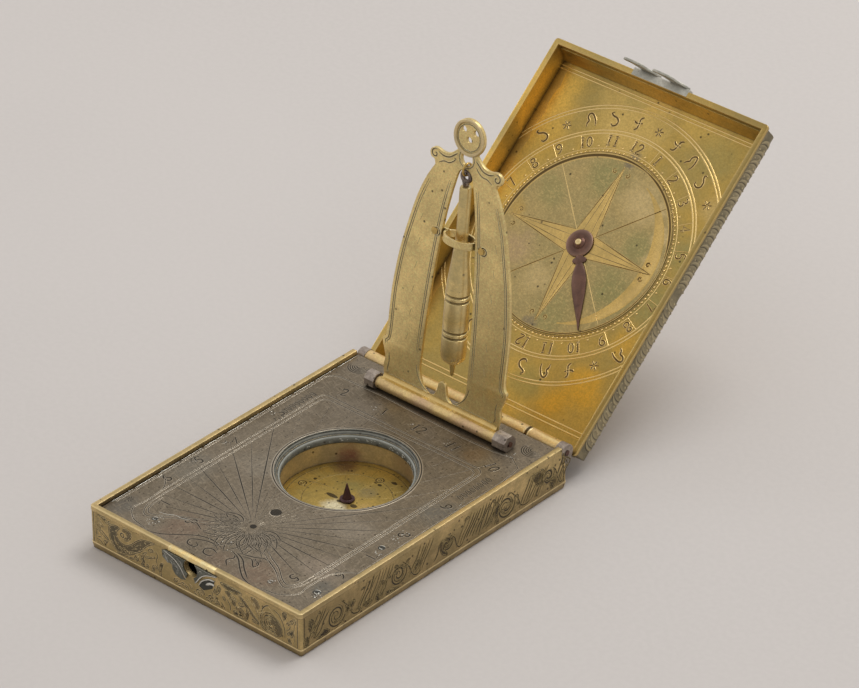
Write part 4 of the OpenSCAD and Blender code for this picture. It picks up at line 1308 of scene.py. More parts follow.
@dataclass
class CaseShell:
    """The case: chased walls and catch; its floor and hinge knuckles keep their CAD shapes."""

    arris_z: float = 1.45
    panel_top: float = 8.15
    rim_z: float = 8.72
    catch_x: float = -0.6
    catch_z: float = 6.9
    catch_r: float = 1.7

    def walls(self) -> Object:
        """Builds the wall frame with its bottom arris, sunk panel and rounded rim, painted darker as shade under
        the arris, at the foot and top of the panel, on the inner face and over the right wall.

        Returns:
            The piece.
        """
        a, p, top = self.arris_z, self.panel_top, CASE.height - 0.02
        # Rows of inset, height, worn and cut. The cut column also paints shade: under the bottom arris, at the foot
        # and top of the sunk panel, and on the inner face.
        profile = [(0.55, 0, 0, 0.4), (0.32, 0.12, 0, 0.35), (0.08, a - 0.45, 0, 0.3), (0.03, a - 0.1, 0.3, 0.1),
            (0, a - 0.05, 1, 0), (0, a + 0.05, 1, 0), (0.03, a + 0.09, 0.8, 0), (PANEL_IN, a + 0.13, 0, 0.5),
            (PANEL_IN, a + 0.3, 0, 0), (PANEL_IN, p - 0.14, 0, 0.1), (PANEL_IN, p, 0, 0.9),
            (0.02, p + 0.07, 0.3, 0.1), (0, p + 0.14, 0.45, 0), (0, top - 0.3, 0.15, 0), (0, top - 0.16, 0.1, 0),
            (0.05, top - 0.04, 0.8, 0), (0.2, top, 0.5, 0), (0.5, top, 0.05, 0.1),
            (CASE.wall - 0.14, top, 0.1, 0.2), (CASE.wall - 0.03, top - 0.05, 0.2, 0.3),
            (CASE.wall, top - 0.2, 0, 0.7), (CASE.wall, 8, 0, 0.85), (CASE.wall, 0, 0, 0.5)]
        maker = MeshMaker()
        loops = [rounded_loop(CASE.half_w - d, CASE.half_d - d, max(CASE.corner - d, 0.03), z) for d, z, _,
            _ in profile]
        worn = [w for _, _, w, _ in profile]
        cuts = [c for _, _, _, c in profile]
        maker.loft(loops + loops[:1], worns=worn + worn[:1], cuts=cuts + cuts[:1])
        # painted shade: the right wall is darkened and its rubbing halved
        for i, p in enumerate(maker.points):
            if p.x > CASE.half_w - 0.3 and abs(p.y) <= CASE.half_d - CASE.corner + 0.01:
                maker.cut[i] = max(maker.cut[i], 0.42)
                maker.worn[i] *= 0.5
        piece = maker.object("case_walls_chased")
        weld(piece)
        low = MeshMaker()
        box_points(low, Vector((-CASE.half_w - 1, CASE.half_d - CASE.wall - 0.5, CASE.rear_h)),
            Vector((CASE.half_w + 1, CASE.half_d + 1, CASE.height + 1)))
        hole = MeshMaker()
        hole.loft([[Vector((self.catch_x + x, y, self.catch_z + z)) for x, z in circle(0, 0, self.catch_r, 40)]
            for y in (-CASE.half_d - 1, -CASE.half_d + CASE.wall + 1)], caps=True)
        tools = [low.object("tool_low"), hole.object("tool_hole")]
        for tool in tools:
            weld(tool)
        piece = carve(piece, tools)
        recalc(piece, 32)
        return mount(piece, Body.CASE, "gilt_ground", ("case_walls",))

    def rinceau(self, work: Engraver, length: float, low: float, high: float, waves: int, seed: int) -> None:
        """Fills a panel with a running scroll: a wavy stem, volutes and curled leaves.

        Args:
            work: The engraver on the panel's face.
            length: Half the panel's length.
            low: Lower edge.
            high: Upper edge.
            waves: Number of volutes.
            seed: Seed of the small variations.
        """
        rng = random.Random(seed)
        mid, rise = (low + high) / 2, (high - low) / 2 - 0.35
        step = 2 * length / waves
        stem = []
        for i in range(waves * 14 + 1):
            x = -length + i * step / 14
            stem.append((x, mid + rise * 0.82 * sin(pi * (x + length) / step)))
        work.line(stem, 0.26, taper=0.6)
        work.line([(x, y + 0.34) for x, y in stem], 0.14, taper=0.6)
        for k in range(waves):
            cx = -length + (k + 0.5) * step
            side = 1 if k % 2 == 0 else -1
            cy = mid - side * rise * 0.12
            work.spiral(cx, cy, rise * 0.92, 90 * side + 60, -1.9 * side, 0.3)
            work.spiral(cx + 0.12, cy, rise * 0.68, 90 * side + 40, -1.3 * side, 0.16)
            for j in range(7):
                turn = 360 * j / 7 + rng.uniform(-14, 14)
                a = radians(turn)
                work.leaf(cx + rise * 0.98 * cos(a), cy + rise * 0.9 * sin(a), rng.uniform(0.9, 1.6),
                    turn + side * 60, side * 70, 0.15)
            for j in range(10):
                a = radians(36 * j + rng.uniform(-9, 9))
                r1, r2 = rise * rng.uniform(0.75, 0.9), rise * rng.uniform(0.98, 1.15)
                work.line([polar(r1, a, cx, cy), polar(r2, a + 0.16, cx, cy)], 0.12)
        for k in range(waves + 1):
            cx = -length + k * step
            for side in (-1, 1):
                for j in range(3):
                    x0 = max(-length + 0.4, min(length - 0.4, cx + rng.uniform(-1, 1)))
                    work.leaf(x0, mid + side * rise * rng.uniform(0.3, 0.6), rng.uniform(0.8, 1.5),
                        rng.uniform(0, 360), rng.choice((-80, 80)), 0.16)

    def borders(self, work: Engraver, length: float) -> None:
        """Rules a thin line at each end of a panel."""
        for side in (-1, 1):
            work.line([(side * length, self.arris_z + 0.3), (side * length, self.panel_top - 0.2)], 0.16, taper=1)

    def chasing(self) -> None:
        """Chases the front and the two side walls."""
        low, high = self.arris_z + 0.4, self.panel_top - 0.25
        for name, face, length, metal in (("front", FRONT, CASE.half_w - 0.9, "gilt_case"),
                ("right", RIGHT, CASE.half_d - 1, "gilt_side_shaded"), ("left", LEFT, CASE.half_d - 1, "gilt_side_shaded")):
            work = Engraver(face, burr=0.035, bright=0.35, gain=1.25)
            self.borders(work, length)
            if name == "front":
                self.front_scrolls(work, low, high)
                self.rim_wear()
            elif name == "right":
                self.side_scrolls(work, low, high)
            else:
                self.rinceau(work, length - 0.5, low, high, 8, 7)
            work.piece("chasing_" + name, Body.CASE, Slot.GILT, metal)

    def ground(self, work: Engraver, ring: Sequence[Point2], cut: float, grains: int, seed: int) -> None:
        """Sinks and mats an area, leaving grains.

        Args:
            work: The engraver on the wall.
            ring: The area's outline.
            cut: How dark it is.
            grains: Places tried for grains.
            seed: Seed of their places.
        """
        course = smooth_line(ring, 3, ring=True)
        work.patch(course, min(1, cut + 0.12))
        work.line(course, 0.16, ring=True)
        work.stipple(course, grains, seed)

    def rim_wear(self) -> None:
        """Works a broken bright line along the front rim, a painted highlight in short flecks, with a dark line
        under most flecks, a painted shadow along the rim's lower edge.
        """
        work = Engraver(WorkFace(Vector((0, -CASE.half_d, 0)), X, Z), burr=0.014, bright=1)
        rng = random.Random(51)
        for x, x2 in ((-24.6, -9.4), (6.6, 24.4)):
            while x < x2:
                size = rng.uniform(0.7, 3.2)
                end = min(x2, x + size)
                # painted highlight: one fleck of the rim's broken bright line
                work.line([(x, self.rim_z + rng.uniform(-0.04, 0.04)), (end,
                    self.rim_z + rng.uniform(-0.04, 0.04))], rng.uniform(0.08, 0.2), RIDGE)
                if rng.random() < 0.8:
                    # painted shadow along the rim's lower edge
                    work.line([(x, 8.38), (end, 8.36)], rng.uniform(0.12, 0.2))
                x = end + rng.uniform(0.1, 1.2)
        work.piece("rim_highlight_and_shadow", Body.CASE, Slot.GILT, "gilt_bright")

    def front_scrolls(self, work: Engraver, low: float, high: float) -> None:
        """Chases the front: a matted volute at each end with leaves that run to the catch.

        Args:
            work: The engraver on the front.
            low: Lower edge of the panel.
            high: Upper edge.
        """
        rng = random.Random(21)
        top = high + 0.15
        self.ground(work, path("-21,6.7 -21.1,5.5 -20.9,4.4 -20.4,3.4 -19.7,2.5 -18.7,2.1 -17.1,2.3 -15.4,3.1 "
            "-13.8,4.2 -12.7,5.1 -11.9,6.2 -10.8,7.2 -9.5,8.05 -11.9,7.7 -13.1,7.3 -14.4,6.3 -15.3,5.4 -16.6,4.5 "
            "-17.7,4.4 -18.6,4.8 -19.1,5.5 -19,6.5 -18.3,7.4 -19,7.6 -20.1,7.4"), 0.76, 160, 1)
        self.ground(work, path("-17.2,7.8 -16.1,7.8 -15.4,7.3 -15.7,6.2 -16.6,5.4 -17.3,5.4 -16.7,6.3 -16.7,7.1 "
            "-17.6,7.1"), 0.72, 36, 2)
        work.circle(-17.7, 6.2, 0.42, 0.22)
        for ring, cut in FRONT_PITS:
            self.ground(work, ring, cut, 16, len(ring))
        for r, width in path("2.05,0.2 1.55,0.26 0.95,0.24 0.4,0.3"):
            work.arc(18.5, 4.1, r, 100 - 40 * r, 400 - 40 * r, width)
        for course, width in FRONT_LINES:
            work.curve(course, width, steps=4)
        for cx, cz, r, a1, a2, count in ((-17.4, 6.4, 3, 200, 330, 9), (-14.2, 5.2, 1.5, 250, 350, 5),
                (18.4, 4.1, 2.4, 60, 300, 12), (11.4, 5, 2.2, 100, 200, 6), (13.2, 3.6, 2.6, 20, 80, 5),
                (-22.2, 5, 1.6, 100, 260, 6)):
            for k in range(count):
                a = radians(a1 + (a2 - a1) * (k + 0.5) / count)
                q = r + rng.uniform(-0.35, 0.35)
                z1, z2 = cz + q * sin(a), cz + (q + 0.7) * sin(a + 0.5)
                if low < z1 < top and low < z2 < top:
                    work.line([(cx + q * cos(a), z1), (cx + (q + 0.7) * cos(a + 0.5), z2)], 0.15,
                        RIDGE if k % 3 == 0 else FURROW)
        for x in (-24.3, -23.9, 24.2):
            work.line([(x, low), (x - 0.1, 5), (x + 0.1, top)], 0.14)
        for k in range(15):
            work.leaf(-4.6 + 0.75 * k, low + 0.1 + 0.5 * (k % 2), rng.uniform(0.9, 1.7), rng.uniform(40, 140),
                rng.choice((-70, 70)), 0.2)
        for x, z, turn in ((-23.6, 4.6, 60), (-22.5, 2.6, 20), (-14.6, 2.2, 50), (-11, 5.6, 80), (-9, 2.6, 100),
                (5.2, 5.4, -60), (7, 4.6, -50), (9, 5.6, -40), (22.5, 5.5, 80), (23.5, 6, 110), (-20.6, 7.6, 200),
                (-22.6, 5.6, 120), (10.8, 5, -50), (14, 2.6, 30)):
            work.leaf(x, z, rng.uniform(1, 1.6), turn, rng.uniform(-60, 60), 0.17)

    def side_scrolls(self, work: Engraver, low: float, high: float) -> None:
        """Chases the right wall: volutes, feathered stems and matted pits.

        Args:
            work: The engraver on the wall.
            low: Lower edge of the panel.
            high: Upper edge.
        """
        rng = random.Random(33)
        for ring, cut in SIDE_PITS:
            self.ground(work, ring, cut, 30, len(ring) + 3)
        for cy, cz, r, start in ((-26.6, 4.4, 2.7, 60), (-10.4, 4.6, 2.4, 60), (2.6, 4.6, 1.7, 80),
                (18.7, 4.4, 2.7, 60), (30.5, 5.2, 1.7, 40)):
            work.spiral(cy, cz, r, start, -1.75, 0.26)
            work.spiral(cy - 0.1, cz, r * 0.78, start + 25, -1.35, 0.14)
            tail = [polar(r, radians(start), cy, cz), (cy + r * 1.2, cz + 0.2), (cy + r * 1.5, cz - 1.6),
                (cy + r * 2, low + 0.3), (cy + r * 2.6, low + 0.8)]
            work.curve(tail, 0.2, steps=6)
            back = [(cy - r * 0.6, cz + r * 0.85), (cy - r * 1.2, cz + 0.6), (cy - r * 1.5, cz - 1),
                (cy - r * 2.1, low + 0.5)]
            work.curve(back, 0.22, steps=6)
            for k in range(7):
                a = radians(start + 180 + 22 * k)
                work.line([(cy + r * 1.06 * cos(a), cz + r * 1 * sin(a)),
                    (cy + r * 1.35 * cos(a + 0.25), max(low, cz + r * 1.25 * sin(a + 0.25)))], 0.15)
        for y0, count in ((-34, 3), (-21.6, 9), (-7.6, 5), (5.2, 13), (22.4, 7), (32, 4)):
            for k in range(count):
                x = y0 + 0.85 * k
                course = smooth_line([(x, low + rng.uniform(0.1, 1.2)), (x + 0.9, 4 + rng.uniform(-0.4, 0.4)),
                    (x + 2.1, 5.8 + rng.uniform(-0.5, 0.5)), (min(x + 3.2, 34.6), high - rng.uniform(0, 0.7))], 4)
                work.line(course, rng.uniform(0.12, 0.24))
        for k in range(34):
            work.leaf(rng.uniform(-33.5, 33.5), rng.uniform(low + 0.3, high - 1), rng.uniform(0.8, 1.5),
                rng.uniform(20, 110), rng.choice((-70, 70)), 0.14)

    def catch(self) -> None:
        """Builds the rubbed rim over the catch hole, in a pale gilt that also stands for a painted highlight, and
        the silver leaves beside it.
        """
        maker = MeshMaker()
        y0, z0 = -CASE.half_d, 8.27
        section = [(-0.03, z0), (-0.045, z0 + 0.08), (-0.045, CASE.height - 0.2), (0.04, CASE.height - 0.05),
            (0.2, CASE.height), (0.72, CASE.height), (0.8, CASE.height - 0.04), (0.8, CASE.height - 0.4), (0.3, z0)]
        loops = []
        for x, s in path("-6.3,0.75 -6.1,1 -3,1 0,1 3,1 5.1,1 5.35,0.75"):
            loops.append([Vector((x, y0 + 0.3 + (d - 0.3) * s, 8.8 + (z - 8.8) * s)) for d, z in section])
        maker.loft(loops, caps=True)
        maker.piece("catch_rim", Body.CASE, Slot.GILT, "highlit_rubbed_gilt", sharp=35)
        for side, node in ((-1, "catch_leaf_left"), (1, "catch_leaf_right")):
            piece = sheet_piece("catch_leaf_chased_" + ("left" if side < 0 else "right"), [self.leaf_ring(side)],
                0.3, 0.07, Matrix.Translation((0, -CASE.half_d - 0.14, 0)) @ tipped(90))
            mount(piece, Body.CASE, "silver_dark", (node,))
        self.catch_lines()

    def catch_lines(self) -> None:
        """Raises the bright borders of the catch leaves and mats the ground beside them."""
        dark = Engraver(FRONT, burr=0.05, bright=0.8)
        dark.patch(path("-7.8,7.8 -6.5,7.9 -4.8,7.4 -3.6,6.5 -2.6,4.1 -2,3.8 -3.2,3.4 -4.6,3.8 -5.3,4.8 -5.4,5.6 "
            "-6.6,5.7 -7.7,6.3"), 0, 0.05)
        dark.patch(path("1.3,4.2 1.4,3.9 2.3,3.6 3.4,4.2 4.5,4.9 5.1,6.7 3.8,6.5 2.7,5.9 1.8,5.1"), 0.9, 0.05)
        rng = random.Random(41)
        for _ in range(26):
            x = rng.uniform(-7.6, -3.2)
            z = 7.7 - rng.uniform(0, 3.4) * (0.3 + 0.7 * (x + 7.6) / 4.4)
            dark.line([(x, z), (x + 0.45, z - 0.5), (x + 0.5, z - 0.9)], 0.14, lift=0.05)
        dark.piece("catch_matting", Body.CASE, Slot.SILVER, "silver_dark")
        work = Engraver(WorkFace(Vector((0, -CASE.half_d - 0.25, 0)), X, Z), burr=0.045)
        low = Engraver(FRONT, burr=0.16)
        work.curve(path("-1.75,4.4 -2.3,5.15 -3.15,6.3 -4.3,7.2 -5.7,7.72 -7,8.05"), 0.33, RIDGE)
        work.curve(path("0.55,4.45 1.1,5.2 1.95,6.35 3.15,7.25 4.5,7.75 5.85,8.05"), 0.27, RIDGE)
        work.line([(1.2, 8.14), (5.6, 8.14)], 0.2, RIDGE)
        work.line([(1.5, 7.2), (1.9, 7.7), (2.4, 7.4)], 0.2, RIDGE)
        work.line([(-2.4, 6.6), (-2.9, 7.4), (-3.8, 7.8)], 0.14, RIDGE)
        low.curve(path("1.3,4.3 1.8,5.2 2.75,6 3.85,6.55 5.1,6.7"), 0.34, RIDGE)
        low.curve([(3, 5.1), (4, 5.7), (5, 5.8)], 0.6, RIDGE)
        work.maker.absorb(low.maker)
        work.piece("catch_borders", Body.CASE, Slot.SILVER, "silver_bright")

    def leaf_ring(self, side: int) -> list[Point2]:
        """Outline of a catch leaf: a concave spandrel between rim and hole.

        Args:
            side: -1 left, 1 right.

        Returns:
            The ring of points.
        """
        cx, cz, r = self.catch_x, self.catch_z, self.catch_r + 0.05
        top = 8.22
        out = [(6.5, top - 0.12), (6.35, top)]
        a0, a1 = degrees(asin((top - cz) / r)), -62
        out += [polar(r, radians(a0 + (a1 - a0) * k / 10), 0, cz) for k in range(11)]
        out += smooth_line([(1.15, 4.35), (1.75, 5.1), (2.6, 6.3), (3.8, 7.25), (5.1, 7.75), (6.5, top - 0.12)],
            5)[:-1]
        return [(cx + side * x, z) for x, z in out]

    def build(self) -> None:
        """Builds the case's own pieces."""
        self.walls()
        self.chasing()
        self.catch()


def box_points(maker: MeshMaker, low: Vector, high: Vector) -> None:
    """Adds a closed box to a mesh."""
    maker.loft([[Vector((low.x, low.y, z)), Vector((high.x, low.y, z)), Vector((high.x, high.y, z)),
        Vector((low.x, high.y, z))] for z in (low.z, high.z)], caps=True)


@dataclass
class HingeBands:
    """Dark joints and rubbed collars on the knuckles of the lid's hinge."""

    y: float = 36.2
    z: float = 7.1
    r: float = 1.6
    joints: tuple[float, ...] = (-16.3, -5, 5, 16.3)

    def build(self) -> None:
        """Puts a dark band over each joint with a thin bright collar at each side."""
        maker = MeshMaker()
        for x in self.joints:
            rows, cuts, worns = [], [], []
            for d, up, cut, worn in ((-0.62, -0.01, 0, 0), (-0.56, 0.03, 0, 0.9), (-0.34, 0.035, 0, 0.9),
                    (-0.26, 0.02, 1, 0), (0.26, 0.02, 1, 0), (0.34, 0.035, 0, 0.9), (0.56, 0.03, 0, 0.9),
                    (0.62, -0.01, 0, 0)):
                rows.append([Vector((x + d, self.y + (self.r + up) * cos(a), self.z + (self.r + up) * sin(a)))
                    for a in (radians(20 + 160 * q / 24) for q in range(25))])
                cuts.append(cut)
                worns.append(worn)
            maker.loft(rows, closed=False, cuts=cuts, worns=worns)
        maker.piece("hinge_bands", Body.CASE, Slot.GILT, "dull_gilt")


# ---- hour plate and well


@dataclass
class HourPlate:
    """The engraved silver plate."""

    hole_y: float = -20.4
    left: float = -19.2
    right: float = 18.5
    rear: float = 19.2
    outer: float = 23.9
    latitude: float = 48.0
    edge_x: float = 24.3
    edge_y: float = -34.3

    def build(self) -> None:
        """Engraves hour lines, borders, numerals, leaf rosette and scrolls."""
        work = Engraver(PLATE, burr=0.05, bright=1, gain=1.3)
        self.borders(work)
        fine = Engraver(PLATE, burr=0.018, bright=0.3, gain=1.75)
        self.hours(fine)
        self.rosette(fine)
        self.scrolls(fine)
        work.maker.absorb(fine.maker)
        work.piece("hour_plate_engraving", Body.CASE, Slot.SILVER, "silver_plate")
        self.glints()

    def glints(self) -> None:
        """Adds painted highlights along the plate's left and front edges, punched flowers, and bright specks that
        are partly whitish residue and partly painted glints.
        """
        work = Engraver(PLATE, burr=0.035, lip=0.5, bright=1)
        # painted highlight: a broken bright line down the plate's left edge
        for k in range(11):
            y = -31.5 + 6 * k
            work.line([(-24.42, y), (-24.42, y + 2.8), (-24.42, min(34, y + 5.4))], 0.1 + 0.03 * (k % 3), RIDGE)
        # painted highlight along the plate's front edge
        work.line([(12.4, -34.3), (15, -34.2), (17.6, -34.2)], 0.26, RIDGE)
        work.curve(path("-15.8,-28.2 -14.4,-27.9 -13,-27.1 -11.4,-27 -9.9,-26.3"), 0.1, RIDGE, steps=4)
        rng = random.Random(17)
        for x, y, spread, count in ((-14.6, -31, 1.4, 22), (-14.5, -29.3, 0.8, 10), (13.7, -30.5, 0.7, 8),
                (22.2, -11.8, 0.9, 16), (23, -28.5, 1.1, 26), (21.7, -6.8, 1.3, 22), (23.1, 9.6, 0.7, 8),
                (21.8, -4.2, 0.9, 12), (-22.8, -12.5, 0.9, 10), (-22.3, -4, 0.8, 10), (-22.8, 9.1, 0.9, 10),
                (-23.9, -20, 0.8, 8), (-0.2, -28.8, 3, 14), (4, -33, 3, 12), (20, 27.5, 1.4, 14),
                (-0.6, 22.5, 1, 8), (7.8, 23.1, 1, 8), (-9.6, 22.8, 1, 8)):
            for _ in range(count // 2 + 1):
                a, r = rng.uniform(0, 6.28), spread * sqrt(rng.uniform(0, 1))
                (px, py), b = polar(r, a, x, y), rng.uniform(0, 6.28)
                if abs(px) > self.edge_x or py < self.edge_y:
                    continue
                size = rng.uniform(0.06, 0.22)
                work.line([(px, py), polar(size, b, px, py), polar(1.6 * size, b + 0.5, px, py)],
                    rng.uniform(0.08, 0.18), RIDGE)
        for x, y, r in ((14, -30.9, 0.55), (22.3, -27.9, 0.8), (21.6, -10.2, 0.7), (-14.9, -30.2, 0.6)):
            work.patch(circle(x, y, r, 14), 1)
            work.arc(x, y, r * 0.95, 50, 150, 0.16, RIDGE)
            work.arc(x, y, r * 0.5, 200, 330, 0.14, RIDGE)
        work.piece("hour_plate_glints", Body.CASE, Slot.SILVER, "silver_bright")

    def borders(self, work: Engraver) -> None:
        """Engraves the double band and the outer line.

        Args:
            work: The engraver on the plate.
        """
        for d in (0, 1):
            left, right, rear = self.left - d, self.right + d * 0.75, self.rear + d
            work.line([(left, -24.5), (left, rear - 1.4), (left + 0.5, rear - 0.4), (left + 1.5, rear),
                (-8, rear), (0, rear - 0.1), (8, rear), (right - 1.5, rear), (right - 0.4, rear - 0.5),
                (right, rear - 1.6), (right, -24.5)], 0.17, taper=1)
        work.line([(-self.outer, -31), (-self.outer, 24.4), (-self.outer + 0.8, 25.8), (-self.outer + 2.4, 26.4),
            (-11, 26.7), (0, 26.3), (9, 26), (16, 26.2), (20, 27)], 0.17, taper=1)
        work.line([(self.outer, -19), (self.outer, 20), (self.outer - 0.8, 25), (20, 27)], 0.15, taper=1)
        for side in (-1, 1):
            for d in (0, 0.9):
                work.curve([(7.4 - 0.5 * d, -24.2 - d), (9.2, -25.4 - d), (12.3, -26.9 - d),
                    (15.3, -29.1 - 0.9 * d), (17.2 + 0.2 * d, -29.5 - d), (18.3 + 0.7 * d, -27.6 - 0.4 * d),
                    (18.5 + 0.75 * d, -24.5)], 0.17, side=side)
            work.curve(path("12.2,-33.9 15.2,-33.3 17.8,-32.7 20.2,-30.4 20,-27.6 20.4,-22.5 22.6,-19.6 "
                "23.9,-19"), 0.17, side=side)

    def hours(self, work: Engraver) -> None:
        """Engraves the hour lines and their numerals.

        Args:
            work: The engraver on the plate.
        """
        for half in range(-17, 18):
            h = radians(half * 7.5)
            a = atan2(sin(h) * sin(radians(self.latitude)), cos(h))
            dx, dy = -sin(a), cos(a)
            whole = half % 2 == 0
            start = 2.6 if whole else 4.2
            inner = min(self._reach(dx, dy, self.left, self.right, self.rear), 60)
            outer = min(self._reach(dx, dy, self.left - 1, self.right + 0.75, self.rear + 1), 60)
            far = outer + 2 if whole else inner
            course = [(dx * start, self.hole_y + dy * start)]
            well = self._well_span(dx, dy)
            width = 0.15 if whole else 0.12
            if well:
                work.line([course[0], (dx * well[0], self.hole_y + dy * well[0])], width)
                if well[1] < far:
                    work.line([(dx * well[1], self.hole_y + dy * well[1]), (dx * far, self.hole_y + dy * far)],
                        width)
            else:
                work.line([course[0], (dx * far * 0.5, self.hole_y + dy * far * 0.5),
                    (dx * far, self.hole_y + dy * far)], width)
            if whole and outer < 59:
                hour = (half // 2) % 12 or 12
                label = str(hour if half >= 0 else (12 + half // 2) or 12)
                nx, ny = dx * (outer + 2.6), self.hole_y + dy * (outer + 2.6)
                nx = max(-22.4, min(22, nx))
                ny = min(23.4, ny)
                turn = degrees(atan2(dy, dx)) - 90
                work.number(label, nx + 0.9 * dy, ny - 0.9 * dx, 2.1, turn, 0.19)

    def _reach(self, dx: float, dy: float, left: float, right: float, rear: float) -> float:
        """Distance from the hole to a border along a direction.

        Args:
            dx: Direction across.
            dy: Direction along.
            left: Left border.
            right: Right border.
            rear: Rear border.

        Returns:
            The distance.
        """
        spans = [70]
        if dx < -1e-6:
            spans.append(left / dx)
        if dx > 1e-6:
            spans.append(right / dx)
        if dy > 1e-6:
            spans.append((rear - self.hole_y) / dy)
        if dy < -1e-6:
            spans.append(max(8.6, (-25.5 - self.hole_y) / dy))
        return min(spans)

    def _well_span(self, dx: float, dy: float) -> Optional[tuple[float, float]]:
        """Where a line from the hole enters and leaves the well, or None.

        Args:
            dx: Direction across.
            dy: Direction along.

        Returns:
            Both distances from the hole.
        """
        gap = CASE.well_y - self.hole_y
        along, off = gap * dy, abs(gap * dx)
        r = CASE.well_r + 0.25
        if along < 0 or off >= r:
            return None
        half = sqrt(r * r - off * off)
        return along - half, along + half

    def rosette(self, work: Engraver) -> None:
        """Engraves feathered leaves round the front of the string hole.

        Args:
            work: The engraver on the plate.
        """
        rng = random.Random(3)
        for k in range(17):
            turn = 182 + k * 11
            a = radians(turn)
            r = 2.3 + 0.3 * (k % 2)
            size = 4.6 + 1.4 * sin(pi * k / 16) + (0.7 if k % 2 else 0)
            work.leaf(*polar(r, a, 0, self.hole_y), size, turn, rng.uniform(-8, 8), 0.16)
            for j in range(4):
                q = r + size * (0.35 + 0.14 * j)
                b = a + radians(5.5)
                work.line([polar(q, b, 0, self.hole_y), polar(q + 0.8, b + 0.05, 0, self.hole_y)], 0.1)
        work.patch(circle(0, self.hole_y, 0.62, 20), 1, 0.03)
        work.patch(circle(0, -14.5, 1.05, 24), 1, 0.03)
        work.arc(0, -14.5, 1.12, 190, 350, 0.16, RIDGE)
        for k in range(44):
            a = radians(k * 360 / 44 + rng.uniform(-2, 2))
            r1 = rng.uniform(1, 1.4)
            work.line([polar(r1, a, 0, self.hole_y), polar(2.4, a, 0, self.hole_y)], 0.09)

    def scrolls(self, work: Engraver) -> None:
        """Engraves the ribbons and volutes along the front and at the rear corners.

        Args:
            work: The engraver on the plate.
        """
        for course in (path("3.4,-28.3 6.7,-27.3 8.9,-26.4 12.1,-27.6 15,-29.6"),
                path("2.3,-28.4 4.8,-29.4 7,-31.3 9.6,-33.2 12.2,-33.9"),
                path("3.2,-28.2 5.6,-29.1 7.8,-31 10.4,-32.9"), path("4.8,-32.3 3.6,-31.1 4.2,-29.9 3.6,-28.9"),
                path("5.1,-28.5 6.9,-28.1 8.5,-29.5 8.9,-28.6 7.9,-27.9 6.2,-28.2"),
                path("0.4,-29.9 -1.5,-29 -3.6,-29.4 -5.6,-30.6 -5.2,-31.9 -3.7,-32 -3.3,-31.2 -4.1,-30.8"),
                path("0.8,-29.2 -2,-28.3 -5,-28.8 -7.6,-30.6 -10.6,-32.9 -13,-33.8"),
                path("1,-30.8 -0.4,-30.3 -1.6,-31 -1,-32.2 0.5,-32.2 0.8,-31.4"),
                path("-6.2,-27.3 -9,-26.2 -12.4,-27.2 -14.8,-28.8")):
            work.curve(course, 0.17)
        for side in (-1, 1):
            work.star(side * 13.9, -30.8, 0.6, 7, 0.14)
            work.circle(side * 13.9, -30.8, 0.3, 0.14)
            work.star(side * 22.6, -28.7, 0.8, 8, 0.16)
            for k in range(5):
                work.arc(side * 21.4, 31.4, 0.6 + 0.42 * k, 90 - side * 100, 90 - side * 290, 0.14)
            for k in range(9):
                work.line([(side * (17.6 + 0.55 * k), -31.7 + 0.2 * k),
                    (side * (18 + 0.55 * k), -32.6 + 0.25 * k)], 0.12)
            for k in range(8):
                work.leaf(side * 22.2, 10.5 + k * 1.1, 1.6, 90 + side * 35, side * 40, 0.12)
        for x, y in ((-22.8, -12.5), (-22.4, -4), (-22.7, 9.1)):
            work.line([(x - 0.7, y - 0.6), (x + 0.7, y + 0.7)], 0.2)
            work.line([(x - 0.7, y + 0.6), (x + 0.7, y - 0.6)], 0.2)


